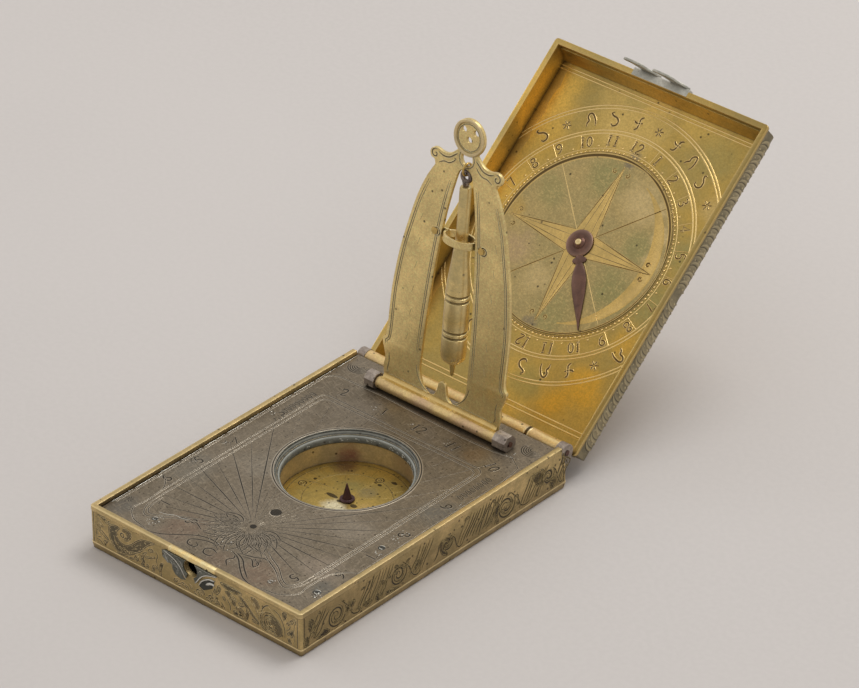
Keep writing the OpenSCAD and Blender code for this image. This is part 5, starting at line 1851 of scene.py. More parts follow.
@dataclass
class Well:
    """The open compass well: builds its lip, corroded glass seat and the card's engraving; the bowl, card and
    needle pivot keep their CAD shapes.
    """

    seat_in: float = 12.15
    seat_out: float = 12.68
    seat_low: float = 5.9
    seat_high: float = 7.4
    card_z: float = 1.6
    card_in: float = 8.4
    card_out: float = 11.6

    def seat(self) -> None:
        """Builds the lumpy ring that held the glass."""
        rng = random.Random(8)
        waves = [(rng.randint(3, 60), rng.uniform(0, 6.28), rng.uniform(0.2, 1)) for _ in range(26)]
        steps, maker = 240, MeshMaker()
        section = [(self.seat_out, self.seat_low), (self.seat_out, self.seat_high - 0.1),
            (self.seat_out - 0.16, self.seat_high), (self.seat_in + 0.2, self.seat_high - 0.06),
            (self.seat_in + 0.05, self.seat_high - 0.3), (self.seat_in + 0.08, self.seat_low + 0.6),
            (self.seat_in, self.seat_low + 0.3), (self.seat_in + 0.12, self.seat_low)]
        rows = []
        for k, (r, z) in enumerate(section):
            row = []
            for i in range(steps):
                a = 2 * pi * i / steps
                lump = sum(q * sin(n * a + p + k * 1.3) for n, p, q in waves) / 9
                inner = 1 if 2 < k < 7 else 0
                row.append(Vector(((r - 0.07 * abs(lump) * inner) * cos(a),
                    CASE.well_y + (r - 0.07 * abs(lump) * inner) * sin(a), z + 0.05 * lump * inner)))
            rows.append(row)
        worn = [0, 0, 0.3, 0.5, 0.2, 0, 0, 0]
        maker.loft(rows + rows[:1], worns=worn + worn[:1])
        maker.piece("seat_corroded", Body.CASE, Slot.GREY, "grey_seat", ("glass_seat_ring",), joined=True)

    def card(self) -> None:
        """Engraves the compass card."""
        work = Engraver(WorkFace(Vector((0, CASE.well_y, self.card_z)), X, Y), burr=0.02)
        work.circle(0, 0, self.card_out, 0.14)
        work.circle(0, 0, self.card_in, 0.12)
        for k in range(32):
            a = 2 * pi * k / 32
            work.line([polar(self.card_in if k % 4 else 2.2, a), polar(self.card_out, a)], 0.1)
        for x, y in path("-9.8,-1.4 0.3,8.6 9.8,1.4 -0.3,-8.6"):
            work.circle(x, y, 0.75, 0.26)
            work.circle(x, y, 0.3, 0.2)
        for x, y, r, q in ((-9, 1.2, 0.35, 0), (-3, -0.8, 0.5, 2.2), (-0.8, -1.3, 0.4, 0.3),
                (0.9, -0.6, 0.5, 0.2), (2.3, -0.8, 0.55, 0.4), (0.2, 7.6, 0.35, 0), (1.3, 7.4, 0.35, 0.3),
                (2.9, 9.6, 0.35, 0.9), (-5.7, 7.5, 0.25, 0), (3, 5, 0.22, 0), (-6.5, 1, 0.2, 0), (5, 1.5, 0.25, 0)):
            work.patch([(x + (r + q * 0.4) * u, y + r * v) for u, v in circle(0, 0, 1, 12)], 0.95)
        work.line([(-10.3, -0.3), (-7, 0.6), (-4.2, 1.2)], 0.14)
        work.piece("compass_card_engraving", Body.CASE, Slot.GILT, "card_gilt")

    def lip(self) -> None:
        """Adds the rolled edge round the opening of the plate."""
        maker = MeshMaker()
        section = [(CASE.well_r + 0.3, -0.004), (CASE.well_r + 0.24, 0.036), (CASE.well_r + 0.1, 0.042),
            (CASE.well_r + 0.03, 0.005), (CASE.well_r - 0.12, 0.005), (CASE.well_r - 0.2, 0.04),
            (CASE.well_r - 0.3, 0.045), (CASE.well_r - 0.44, -0.03), (CASE.well_r - 0.5, -0.3),
            (CASE.well_r - 0.42, -0.5)]
        rows = [[Vector((x, y, CASE.plate_z + h)) for x, y in circle(0, CASE.well_y, r, 160)] for r, h in section]
        maker.loft(rows, worns=[0, 0.7, 0.5, 0, 0, 0.8, 0.6, 0, 0, 0], cuts=[0, 0, 0.3, 1, 1, 0.2, 0, 0.9, 0.8,
            0.6])
        maker.piece("well_lip_rolled", Body.CASE, Slot.SILVER, "silver_plate")
        skirt = MeshMaker()
        rng = random.Random(9)
        rows = [[Vector(((r + rng.uniform(-0.02, 0.02)) * cos(2 * pi * i / 160),
            CASE.well_y + (r + rng.uniform(-0.02, 0.02)) * sin(2 * pi * i / 160), CASE.plate_z + h))
            for i in range(160)] for r, h in ((CASE.well_r - 0.56, -0.24), (CASE.well_r - 0.66, -0.4),
            (CASE.well_r - 0.72, -0.7), (CASE.well_r - 0.96, -0.86))]
        skirt.loft(rows, worns=[0, 0.4, 0, 0.1], cuts=[0.5, 0, 0.2, 0.3])
        for _ in range(46):
            a = radians(rng.choice((rng.uniform(48, 92), rng.uniform(20, 170))))
            r, z = self.seat_in + rng.uniform(-0.14, -0.06), rng.uniform(6.4, 7.2)
            spot = Vector((*polar(r, a, 0, CASE.well_y), z))
            along, size = Vector((-sin(a), cos(a), 0)), rng.uniform(0.08, 0.34)
            base = [skirt.add(spot + along * u * size + Z * v * size * 0.6, 0, 1) for u,
                v in path("-1,0 -0.3,-0.8 0.9,-0.2 0.4,0.9")]
            top = skirt.add(spot - Vector((cos(a), sin(a), 0)) * 0.12, 0, 1)
            for i in range(4):
                skirt.faces.append([base[i], base[(i + 1) % 4], top])
        skirt.piece("well_residue", Body.CASE, Slot.GREY, "grey_seat")

    def build(self) -> None:
        """Builds the well's pieces."""
        self.seat()
        self.card()
        self.lip()


# ---- lid


def bead(maker: MeshMaker, face: WorkFace, x: float, y: float, r: float, high: float) -> None:
    """Raises a small dome on a face.

    Args:
        maker: The mesh that gets it.
        face: The face.
        x: Middle across.
        y: Middle along.
        r: Radius.
        high: Height.
    """
    rows = []
    for share, up in path("1,-0.004 0.92,0.4 0.6,0.85 0.2,1"):
        rows.append([face.at(px, py, high * up if up > 0 else up) for px, py in circle(x, y, r * share, 10)])
    maker.loft(rows, worns=[0, 0.3, 0.8, 1])
    top = len(maker.points)
    maker.faces.append(list(range(top - 10, top)))


@dataclass
class LidShell:
    """The lid's tray: lining with its rubbed rim, scaled moulding, cover and inside lines."""

    inset: float = 1.2
    floor_z: float = 13.8
    cover_z: float = 14.3
    top_z: float = 15.1
    band: float = 0.7
    set_back: float = 0.3
    shoulder: float = 2.2
    cover_margin: float = 2.4
    pitch: float = 2.02
    scale_w: float = 4.9
    skin: float = 0.21
    number_r: float = 21.3
    bead_r: float = 19.22
    dot_r: float = 20.3
    ring_r: float = 25.85

    def tray_loop(self, d: float, z: float) -> list[Vector]:
        """Ring of the open lid at an inset from its outer faces and at a closed-lid height."""
        return [LID @ p for p in rounded_loop(CASE.half_w - d, CASE.half_d - d, max(CASE.corner - d, 0.03), z)]

    def lining(self) -> None:
        """Builds the inner wall faces with the flat rubbed rim and its outer arris, painted darker as shade along
        the right side.
        """
        rim = CASE.height + 0.03
        profile = [(self.inset, self.floor_z, 0), (self.inset, rim + 0.22, 0),
            (self.inset - 0.05, rim + 0.06, 0.7), (self.inset - 0.16, rim, 0.35), (0.16, rim, 0.1),
            (0.05, rim + 0.03, 0.9), (0, rim + 0.12, 0.9), (0, rim + self.band - 0.1, 0.1),
            (0.05, rim + self.band, 0.4), (self.set_back + 0.02, rim + self.band, 0),
            (0.85, rim + self.band + 0.2, 0), (0.85, self.floor_z, 0)]
        maker = MeshMaker()
        loops = [self.tray_loop(d, z) for d, z, _ in profile]
        worn = [w for _, _, w in profile]
        maker.loft(loops + loops[:1], worns=worn + worn[:1])
        # painted shade: the right side of the lining is darkened and its rubbing cut back
        for i, p in enumerate(maker.points):
            if p.x > CASE.half_w - 1.3:
                maker.cut[i] = 0.4
                maker.worn[i] *= 0.6
        maker.piece("lid_lining", Body.LID, Slot.GILT, "gilt_lid", joined=True, sharp=35)

    def moulding(self) -> None:
        """Builds the quarter-round that carries the scales."""
        low = CASE.height + self.band - 0.05
        spring = self.top_z - self.shoulder
        r = self.shoulder - self.skin
        profile = [(self.set_back + self.skin, low), (self.set_back + self.skin, spring)]
        for k in range(1, 13):
            a = radians(90 * k / 12)
            d = self.set_back + self.shoulder - r * cos(a)
            profile.append((min(d, self.cover_margin - 0.001), spring + r * sin(a)))
        profile += [(self.cover_margin, self.cover_z), (self.inset, self.cover_z),
            (self.inset, self.floor_z + 0.02), (0.82, self.floor_z), (0.82, low)]
        maker = MeshMaker()
        loops = [self.tray_loop(d, z) for d, z in profile]
        maker.loft(loops + loops[:1])
        maker.piece("lid_moulding", Body.LID, Slot.GILT, "gilt_scales", ("lid_walls",), joined=True, sharp=30)

    def moulding_point(self, side: int, s: float, t: float, h: float) -> Vector:
        """Point over the moulding.

        Args:
            side: 0 right, 1 free edge, 2 left, 3 hinge side.
            s: Distance along the side from its middle.
            t: Distance round the section from the band.
            h: Height over the surface.

        Returns:
            The point on the open lid.
        """
        straight = self.top_z - self.shoulder - CASE.height - self.band
        if t < straight:
            d, z = self.set_back + self.skin - h, CASE.height + self.band + t
        else:
            a = min(1.5, (t - straight) / self.shoulder)
            r = self.shoulder - self.skin + h
            d = self.set_back + self.shoulder - r * cos(a)
            z = self.top_z - self.shoulder + r * sin(a)
        x, y = ((CASE.half_w - d, s), (s, -CASE.half_d + d), (-CASE.half_w + d, s), (s, CASE.half_d - d))[side]
        return LID @ Vector((x, y, z))

    def scales(self) -> None:
        """Chases overlapping scales on the moulding, turned away from the middle of each side."""
        maker = MeshMaker()
        rng = random.Random(12)
        for side in range(4):
            half = (CASE.half_d if side in (0, 2) else CASE.half_w) - 1.6
            count = int(half / self.pitch)
            for way in (-1, 1):
                for k in range(count):
                    root = way * (0.25 + k * self.pitch + rng.uniform(-0.07, 0.07))
                    self.scale(maker, side, root, way, 0.25 + rng.uniform(-0.05, 0.05), rng.uniform(0.9, 1.08))
        maker.piece("lid_scales", Body.LID, Slot.GILT, "gilt_scales", sharp=180)

    def scale(self, maker: MeshMaker, side: int, root: float, way: int, t0: float, size: float) -> None:
        """Adds one scale: a domed tongue with a veined middle, a bead and a dark lip.

        Args:
            maker: The mesh that gets it.
            side: The lid's side.
            root: Where it starts along the side.
            way: 1 or -1, the way it points.
            t0: Where its width starts round the section.
            size: Its share of the full size.
        """
        across, rows = 13, []
        stages = ((0, 0, 0, 0), (0.3, 0.07, 0, 0), (0.55, 0.12, 0, 0.2), (0.66, 0.13, 0.1, 0.5),
            (0.72, 0.055, 0.85, 0), (0.8, 0.15, 0.1, 0.3), (0.93, 0.19, 0, 0.7), (0.985, 0.15, 0.2, 0.3),
            (1.04, 0.004, 1, 0))
        for u, h, cut, worn in stages:
            row = []
            for i in range(across):
                v = -1 + 2 * i / (across - 1)
                reach = self.pitch * size * (0.42 + 1.1 * sqrt(max(0, 1 - v * v)))
                t = t0 + self.scale_w * (0.5 + 0.5 * v * (1 - 0.1 * u))
                fall = max(0, 1 - abs(v) ** 4)
                row.append(maker.add(self.moulding_point(side, root + way * reach * u, t,
                    h * (0.25 + 0.75 * fall)), cut, worn * fall))
            rows.append(row)
        maker.bridge(rows, closed=False)
        mid = t0 + self.scale_w / 2
        for du, dt, r in ((0.62, 0.15, 0.32), (0.5, -1.35, 0.22), (0.5, 1.5, 0.22)):
            rows = []
            for share, up in ((1, 0.05), (0.75, 0.17), (0.3, 0.22)):
                rows.append([maker.add(self.moulding_point(side, root + way * self.pitch * du
                    + r * share * cos(a), mid + dt + r * share * sin(a), up), 0.4 if share == 1 else 0,
                    0.9 if share < 0.5 else 0.4) for a in (2 * pi * q / 8 for q in range(8))])
            maker.bridge(rows)
            maker.faces.append(rows[-1])

    def inside_lines(self) -> None:
        """Works the double lines, rings and marks of the dial plate."""
        work = Engraver(DIAL, burr=0.055)
        for r in (28.1, 28.75):
            for side in (-1, 1):
                lim = degrees(acos(24.45 / r))
                work.arc(0, 0, r, 90 - side * (90 - lim), 90, 0.3, RIDGE)
                work.arc(0, 0, r, -90 + side * (90 - lim), -90, 0.3, RIDGE)
        for r in (22.9, 23.55):
            work.circle(0, 0, r, 0.3, RIDGE, steps=180)
        work.circle(0, 0, 18.95, 0.16, steps=160)
        for y in (29.9, 30.6):
            work.line([(-24.5, y), (24.5, y)], 0.3, RIDGE, taper=1)
        for y in (-32.6, -33.5):
            work.line([(-24.5, y), (24.5, y)], 0.28, RIDGE, taper=1)
        work.circle(0, 0, 19.78, 0.2, RIDGE, steps=180)
        side = [-33.4 + 2 * k for k in range(34)]
        work.fade([(-24.6, y) for y in side], [(-22.6 + 0.3 * sin(y), y) for y in side], (0.95, 0))
        work.piece("dial_plate_lines", Body.LID, Slot.GILT, "gilt_bright")

    def dial_marks(self) -> None:
        """Works the numbers, the bead track and the stars and scrolls of the outer ring."""
        work = Engraver(DIAL, burr=0.06, lip=0.5, bright=0.75, gain=1.1)
        rng = random.Random(4)
        for k in range(24):
            a = radians(90 - 15 * k)
            r = self.number_r + rng.uniform(-0.12, 0.12)
            work.number(str(k % 12 or 12), *polar(r, a), 2.05, degrees(a) - 90 + rng.uniform(-4, 4), 0.27)
        for k in range(132):
            a = radians(90 - 360 / 132 * k)
            bead(work.maker, DIAL, *polar(self.bead_r, a), 0.24 + rng.uniform(-0.03, 0.03), 0.14)
        for k in range(24):
            a = radians(90 - 15 * (k + 0.5))
            bead(work.maker, DIAL, *polar(self.dot_r, a), 0.22, 0.1)
            b = radians(90 - 15 * k + 2.6)
            work.line([polar(19.9, b), polar(22.9, b)], 0.2, RIDGE, taper=0.7)
        for k in range(32):
            a = radians(90 - 11.25 * (k + 0.5))
            x, y = polar(self.ring_r, a)
            if abs(x) > 22.6:
                continue
            self.ring_mark(work, x, y, degrees(a), k)
        work.piece("dial_plate_marks", Body.LID, Slot.GILT, "gilt_bright")

    def ring_mark(self, work: Engraver, x: float, y: float, turn: float, kind: int) -> None:
        """Works one ornament of the outer ring.

        Args:
            work: The engraver on the dial plate.
            x: Middle across.
            y: Middle along.
            turn: Angle of the outward direction in degrees.
            kind: Running number that picks the ornament.
        """
        if kind % 4 == 0:
            work.star(x, y, 0.95, 6, 0.32)
            return
        c, s = cos(radians(turn)), sin(radians(turn))
        courses = ([path("1.45,0.5 1.2,0.95 0.75,0.6 0.3,-0.3 -0.5,-0.75 -1.2,-0.4 -1.35,0.35 -0.9,0.7")],
            [path("1.4,-0.7 0.9,-0.2 -0.9,-0.2 -1.4,0.4"), [(0.2, -0.9), (0, 0.3), (0.35, 1)]],
            [path("-1.3,-0.9 -0.2,-0.9 1.2,-0.3 1.35,0.35 0.7,0.7 -0.1,0.45 -0.6,0.8 -1.3,0.9")])[kind % 3]
        for course in courses:
            work.line([(x + u * c - v * s, y + u * s + v * c) for u, v in smooth_line(course, 4)], 0.34, taper=0.5)

    def outside(self) -> None:
        """Engraves the cover's outer face with borders, a rosette and corner leaves."""
        turn = LID.to_3x3()
        face = WorkFace(LID @ Vector((0, 0, self.top_z)), X, turn @ Y)
        work = Engraver(face, burr=0.03)
        for d in (0.6, 1.1, 3.4):
            w, h = CASE.half_w - self.cover_margin - d, CASE.half_d - self.cover_margin - d
            work.line([(-w, -h), (w, -h), (w, h), (-w, h)], 0.16, ring=True)
        for r in (13.5, 13, 9.4, 3):
            work.circle(0, 0, r, 0.18)
        for k in range(16):
            a = 360 * k / 16
            c, s = cos(radians(a)), sin(radians(a))
            work.leaf(3.2 * c, 3.2 * s, 6, a, 8, 0.18)
            work.leaf(9.6 * c, 9.6 * s, 3.1, a, -10, 0.16)
        for sx in (-1, 1):
            for sy in (-1, 1):
                for k in range(5):
                    work.leaf(sx * 17.6, sy * 27, 3.6 + 0.5 * k, 90 - sx * 45 * sy + (k - 2) * 32 if sy > 0
                        else -90 + sx * 45 + (k - 2) * 32, 20 * sx, 0.18)
                work.spiral(sx * 9.5, sy * 25.4, 3, 90, 1.6 * sx * sy, 0.22)
        for k in range(30):
            y = -30 + 2.05 * k
            for sx in (-1, 1):
                work.leaf(sx * 21.4, y, 1.8, 90 - sx * 25, sx * 40, 0.14)
        work.piece("lid_cover_engraving", Body.LID, Slot.GILT, "gilt_case")

    def build(self) -> None:
        """Builds the tray's pieces."""
        self.lining()
        self.moulding()
        self.scales()
        self.inside_lines()
        self.dial_marks()
        self.outside()


@dataclass
class Clasp:
    """The silver plate in the lid's free edge with its two hooked leaves."""

    half: float = 6.8
    thick: float = 0.5
    high: float = 1.6
    root: float = 0.9
    stand_off: float = 0.4
    leaf_t: float = 0.5
    left_x: float = -4.9
    right_x: float = 2.1
    leaf_w: float = 5.0
    leaf_h: float = 3.6

    def lobe(self, x0: float) -> list[Point2]:
        """Outline of one leaf, hooked to the left.

        Args:
            x0: Place of its root.

        Returns:
            The ring of points.
        """
        w, h = self.leaf_w, self.leaf_h
        raw = path("0,0.11 -0.1,0.45 -0.35,0.72 -0.62,0.8 -0.66,0.95 -0.5,1 -0.1,0.98 0.2,0.86 0.36,0.6 0.62,0.42 "
            "0.8,0.2 0.85,0.11")
        line = smooth_line([(x0 + x * w, CASE.height + self.root - y * h) for x, y in raw], 3)
        return line[::-1]

    def build(self) -> None:
        """Builds the strip and both leaves in rubbed silver."""
        maker = MeshMaker()
        y0 = -CASE.half_d
        section = [(1.06, CASE.height + 0.012), (1.1, CASE.height + 0.055), (0.1, CASE.height + 0.06),
            (0.02, CASE.height + 0.2), (0, CASE.height + self.high - 0.06), (-0.06, CASE.height + self.high),
            (-self.thick + 0.08, CASE.height + self.high), (-self.thick, CASE.height + self.high - 0.1),
            (-self.thick, CASE.height + 0.16), (-self.thick + 0.1, CASE.height + 0.03), (-0.2, CASE.height + 0.012)]
        loops = []
        for x, s in ((-self.half, 0.8), (-self.half + 0.15, 1), (self.half - 0.15, 1), (self.half, 0.8)):
            loops.append([LID @ Vector((x, y0 + d * s, CASE.height + 0.8 + (z - CASE.height - 0.8) * s)) for d,
                z in section])
        maker.loft(loops, caps=True, worns=[0.5, 0.2, 0.2, 0.5])
        maker.piece("clasp_strip", Body.LID, Slot.SILVER, "silver_bright", ("clasp_plate",), joined=True, sharp=35)
        place = LID @ Matrix.Translation((0, y0 - self.stand_off - self.leaf_t / 2, 0)) @ tipped(90)
        for name, x0 in (("left", self.left_x), ("right", self.right_x)):
            leaf = sheet_piece("clasp_leaf_" + name, [self.lobe(x0)], self.leaf_t, 0.12, place)
            mount(leaf, Body.LID, "silver_bright")


@dataclass
class DialDisc:
    """Star of the turning disc, with a painted highlight arc and a painted shadow arc near its edge."""

    r: float = 18.6
    star_r: float = 17.0
    waist: float = 3.3

    def _between(self, one: Point2, two: Point2, share: float) -> Point2:
        """Point part of the way from one to another."""
        return one[0] + (two[0] - one[0]) * share, one[1] + (two[1] - one[1]) * share

    def build(self) -> None:
        """Works a narrow four-pointed star with lines between its points, a painted highlight arc near the edge on
        the right and a painted shadow arc along the edge.
        """
        work = Engraver(DISC, burr=0.02, lip=0.6, bright=0.3, gain=1.2)
        # painted highlight: a pale arc on the right of the disc near its edge, fading out to both ends
        rows = []
        for d, worn in path("-1.7,0 -0.6,0.16 0.5,0.34 1.2,0"):
            row = []
            for a in range(-70, 71, 4):
                fade = cos(radians(a * 90 / 70))
                r = 16.3 + d * max(0.1, fade)
                row.append(work.maker.add(DISC.at(*polar(r, radians(a - 4)), 0.002), 0, worn * fade))
            rows.append(row)
        work.maker.bridge(rows, closed=False)
        # painted shadow: dark arcs along the disc's edge, widest on the upper left where the bead track shades it
        for a1, a2, width in ((76, 190, 0.5), (12, 76, 0.36), (190, 372, 0.18)):
            work.arc(0, 0, self.r - 0.28, a1, a2, width)
        for k in range(4):
            tip = polar(self.star_r, radians(90 * k))
            arm = [polar(self.waist, radians(90 * k + 45 * q)) for q in (-1, 1)]
            work.patch([(0, 0), arm[0], tip, arm[1]], 0, 0.004, 0.13)
            for side in (-1, 1):
                c = radians(90 * k + 45 * side)
                foot = polar(self.waist, c)
                work.line([foot, self._between(foot, tip, 0.5), tip], 0.16, taper=0.5)
                foot = (foot[0] * 0.45 + 0.3 * tip[0] / self.star_r, foot[1] * 0.45 + 0.3 * tip[1] / self.star_r)
                near = self._between(foot, tip, 0.86)
                work.line([foot, self._between(foot, near, 0.5), near], 0.11, taper=0.5)
            a = radians(90 * k + 45)
            work.line([polar(3, a), polar(9, a), polar(self.r - 0.6, a)], 0.16, RIDGE if k % 2 else FURROW,
                taper=0.6)
        for k in range(4):
            a = radians(90 * k)
            for side in (-1, 1):
                b = a + side * 0.095
                work.spiral(*polar(15.6, b), 0.55, degrees(b), 1 * side, 0.16)
        work.piece("dial_disc_star", Body.DISC, Slot.GILT, "gilt_bright")


@dataclass
class Pointer:
    """The dark steel pointer and the brass head that holds it."""

    hub_r: float = 2.8
    length: float = 18.2
    blade: float = 1.5
    face_z: float = 13.25
    thick: float = 0.35
    turn: float = -32.0

    def build(self) -> None:
        """Builds the blade with a raised middle, collar beads and a domed hub."""
        maker = MeshMaker()
        face = lid_face(self.face_z + self.thick)
        a = radians(self.turn)
        ahead = face.across * -sin(a) - face.along * cos(a)
        right = face.across * -cos(a) + face.along * sin(a)
        tilt = WorkFace(face.origin, right, ahead)
        stations = [(2.2, 0.75, 0.30), (2.9, 0.75, 0.30), (3.1, 1.25, 0.33), (3.55, 1.45, 0.34), (4, 1.25, 0.33),
            (4.25, 0.62, 0.30), (4.6, 0.75, 0.30), (5, 0.95, 0.31), (6.5, 1.35, 0.33), (8.2, self.blade, 0.34),
            (10.5, 1.29, 0.33), (13.2, 0.82, 0.31), (16.2, 0.28, 0.26), (self.length - 0.25, 0.08, 0.2)]
        loops = []
        for y, half, top in stations:
            loops.append([tilt.at(x * half, y, h) for x, h in ((-1, 0), (-1, top * 0.45), (-0.82, top * 0.75),
                (-0.12, top), (0.12, top), (0.82, top * 0.75), (1, top * 0.45), (1, 0))])
        maker.loft(loops, caps=True, worns=[0.1] * len(loops))
        maker.piece("pointer_blade", Body.POINTER, Slot.STEEL, "dark_steel", ("pointer",), joined=True, sharp=30)
        cap = MeshMaker()
        rows = [[tilt.at(x, y, h) for x, y in circle(0, 0, r, 20)] for r,
            h in path("0.62,0.74 0.6,0.87 0.5,0.9 0.2,0.9 0.05,0.86")]
        cap.loft(rows, worns=[0, 0.3, 0.8, 0.4, 0])
        cap.faces.append(list(range(80, 100)))
        cap.piece("arbor_cap", Body.LID, Slot.GILT, "gilt_case")
        hub = MeshMaker()
        profile = [(1, 0), (1.6, -0.07), (1.6, 0), (self.hub_r - 0.05, 0), (self.hub_r, 0.06), (self.hub_r, 0.18),
            (self.hub_r - 0.08, 0.26), (self.hub_r - 0.3, 0.3), (1.9, 0.345), (1.35, 0.35), (1, 0.35)]
        rows = [[tilt.at(x, y, h) for x, y in circle(0, 0, r, 64)] for r, h in profile]
        hub.loft(rows + rows[:1], worns=[0, 0, 0, 0, 0.2, 0.5, 0.7, 0.4, 0.1, 0, 0, 0])
        hub.piece("pointer_hub", Body.POINTER, Slot.STEEL, "dark_steel", joined=True, sharp=40)


# ---- plummet frame


@dataclass
class PlummetFrame:
    """The pierced leaf that the plummet hangs in."""

    hang_h: float = 50.4
    hang_r: float = 1.3
    thick: float = 0.7
    front: float = 0.5
    rivet_x: float = 5.6
    rivet_h: float = 34.2
    rivet_ring: float = 0.77
    crest_h: float = 54.6
    crest_r: float = 3.6

    leg_outer: tuple[Point2, ...] = path("14.1,0 13.9,1.6 14.3,3.4 14.1,5.2 14.5,6.6 15,7.9 15.1,8.9 14.5,9.6 "
        "14.3,11.5 14.3,16 14.2,20 13.7,25 13.1,29 12,34 10.6,39.5 8.9,43.9 7.2,46.9")
    leg_inner: tuple[Point2, ...] = path("0,5.6 0.7,5.2 1,4.2 1.3,3 2,2.1 3,1.8 4.2,2.4 5.1,3.8 5.7,5.8 5.7,9 "
        "5.55,14 5.25,20 5,24 4.6,29 4.15,33.5 3.6,38 2.9,42 2.3,44.8 1.8,46.8 1.15,47.9 0,48.4")
    scroll: tuple[Point2, ...] = path("2.3,51.7 3.1,50.9 4.3,50.1 5.6,49.9 6.9,50.2 7.8,50.1 8.5,49.5 8.6,48.7 "
        "8.2,48 7.5,47.8 7.2,46.9")

    def outline(self) -> list[list[Point2]]:
        """The leaf's outer edge, window and holes.

        Returns:
            Rings of points, the outer edge first.
        """
        foot = 1.02
        right = smooth_line(self.leg_outer[1:], 4)
        right = [p for p in right if p[1] > foot + 0.2]
        ears = smooth_line(self.scroll[::-1], 4)
        a0 = degrees(atan2(self.scroll[0][1] - self.crest_h, self.scroll[0][0]))
        steps = 26
        crest = [polar(self.crest_r, radians(a0 + (90 - a0) * k / steps), 0, self.crest_h)
            for k in range(steps + 1)]
        half = [(0, foot), (13.9, foot)] + right + ears[1:] + crest[1:]
        left = [(-x, y) for x, y in half[::-1]][1:-1]
        window = smooth_line(self.leg_inner, 4)
        window = window + [(-x, y) for x, y in window[::-1]][1:-1]
        rings = [half + left, window, circle(0, self.hang_h, self.hang_r, 40)]
        for qx, qy in ((-1.45, 1.25), (1.45, 1.25), (0, -0.5)):
            rings.append(circle(qx, self.crest_h + qy, 0.6, 24))
        return rings

    def leaf(self) -> None:
        """Cuts the leaf and rounds its arrises."""
        place = LEAN @ Matrix.Translation((0, self.front + self.thick / 2, 0)) @ tipped(90)
        piece = sheet_piece("plummet_frame_leaf", self.outline(), self.thick, 0.12, place)
        mount(piece, Body.FRAME, "pale_gilt", ("plummet_frame",))

    def foot(self) -> None:
        """Runs the soft seam that joins the leaf to the barrel."""
        maker = MeshMaker()
        rng = random.Random(6)
        section = path("0.502,2.1 0.44,1.6 0.28,1.36 0.02,1.25 -0.3,1.19 -0.62,1")
        steps = 90
        rows = []
        for i in range(steps + 1):
            x = -13.9 + 27.8 * i / steps
            lump = rng.uniform(-0.03, 0.03)
            rows.append([LEAN @ Vector((x, y - (lump if 0 < k < 5 else 0), z + (lump if 0 < k < 5 else 0))) for k,
                (y, z) in enumerate(section)])
        maker.loft(list(zip(*rows)), closed=False, worns=[0, 0.5, 0.6, 0.4, 0.2, 0])
        maker.piece("frame_foot_seam", Body.FRAME, Slot.PALE_GILT, "gilt_bright", sharp=180)

    def crest(self) -> None:
        """Builds the raised ring round the crest."""
        maker = MeshMaker()
        profile = [(self.crest_r - 0.02, -0.02), (self.crest_r - 0.02, 0.14), (self.crest_r - 0.12, 0.24),
            (self.crest_r - 0.38, 0.25), (self.crest_r - 0.62, 0.22), (self.crest_r - 0.75, 0.1),
            (self.crest_r - 0.76, -0.02)]
        rows = [[LEAF.at(x, y, h) for x, y in circle(0, self.crest_h, r, 72)] for r, h in profile]
        maker.loft(rows, worns=[0, 0.3, 0.9, 0.6, 0.5, 0.1, 0])
        maker.piece("crest_ring", Body.FRAME, Slot.PALE_GILT, "dull_gilt", sharp=180)

    def lines(self) -> None:
        """Engraves the border lines of the legs, foot and scrolls, and the crest's rings."""
        work = Engraver(LEAF, burr=0.04, bright=0.9, gain=1.2)
        for side in (-1, 1):
            work.circle(CASE.frame_x + side * self.rivet_x, self.rivet_h, self.rivet_ring, 0.22)
        for side in (-1, 1):
            for gap, width in ((0.75, 0.16), (1.15, 0.12)):
                outer = self.parallel([p for p in self.leg_outer if 7 < p[1] < 46], -gap)
                work.curve(outer, width, side=side)
                inner = self.parallel([p for p in self.leg_inner if 6.5 < p[1] < 46.5], gap)
                work.curve(inner, width, side=side)
            foot = path("13.2,6.4 13,4.6 13.2,3.2 12.9,2.4")
            work.curve(foot, 0.14, side=side)
            for y in (1.75, 2.25):
                work.line([(side * 3.2 if y > 2 else side * 1.3, y), (side * 12.6, y)], 0.15)
            hook = path("3.3,2.3 4.6,3 5.9,4.6 6.5,6.6")
            work.curve(hook, 0.14, side=side)
            work.spiral(side * 7.35, 49, 0.95, 90 + side * 20, -1.1 * side, 0.24)
            work.curve(path("6.6,49.6 5.4,49.2 4,49.4 2.9,50.2 2.2,50.8"), 0.24, side=side)
            work.curve(path("6.3,47.6 5.2,48.2 4,48.3 3,48.9 2.4,49.6"), 0.2, side=side)
            for k in range(7):
                y = 10.5 + 4.9 * k
                work.line([(side * (9.6 - 0.08 * k), y), (side * (9.2 - 0.1 * k), y + 1.6)], 0.09)
        work.circle(0, self.hang_h, self.hang_r + 0.5, 0.16)
        work.circle(0, self.crest_h, self.crest_r - 1, 0.15)
        work.piece("plummet_frame_lines", Body.FRAME, Slot.PALE_GILT, "pale_gilt")
        back = Engraver(WorkFace(LEAN @ Vector((0, self.front + self.thick, 0)), -X, LEAN.to_3x3() @ Z), burr=0.03)
        for side in (-1, 1):
            outer = self.parallel([p for p in self.leg_outer if 7 < p[1] < 46], -0.8)
            back.curve(outer, 0.15, side=side)
        back.circle(0, self.crest_h, self.crest_r - 0.6, 0.16)
        back.piece("plummet_frame_back_lines", Body.FRAME, Slot.PALE_GILT, "pale_gilt")

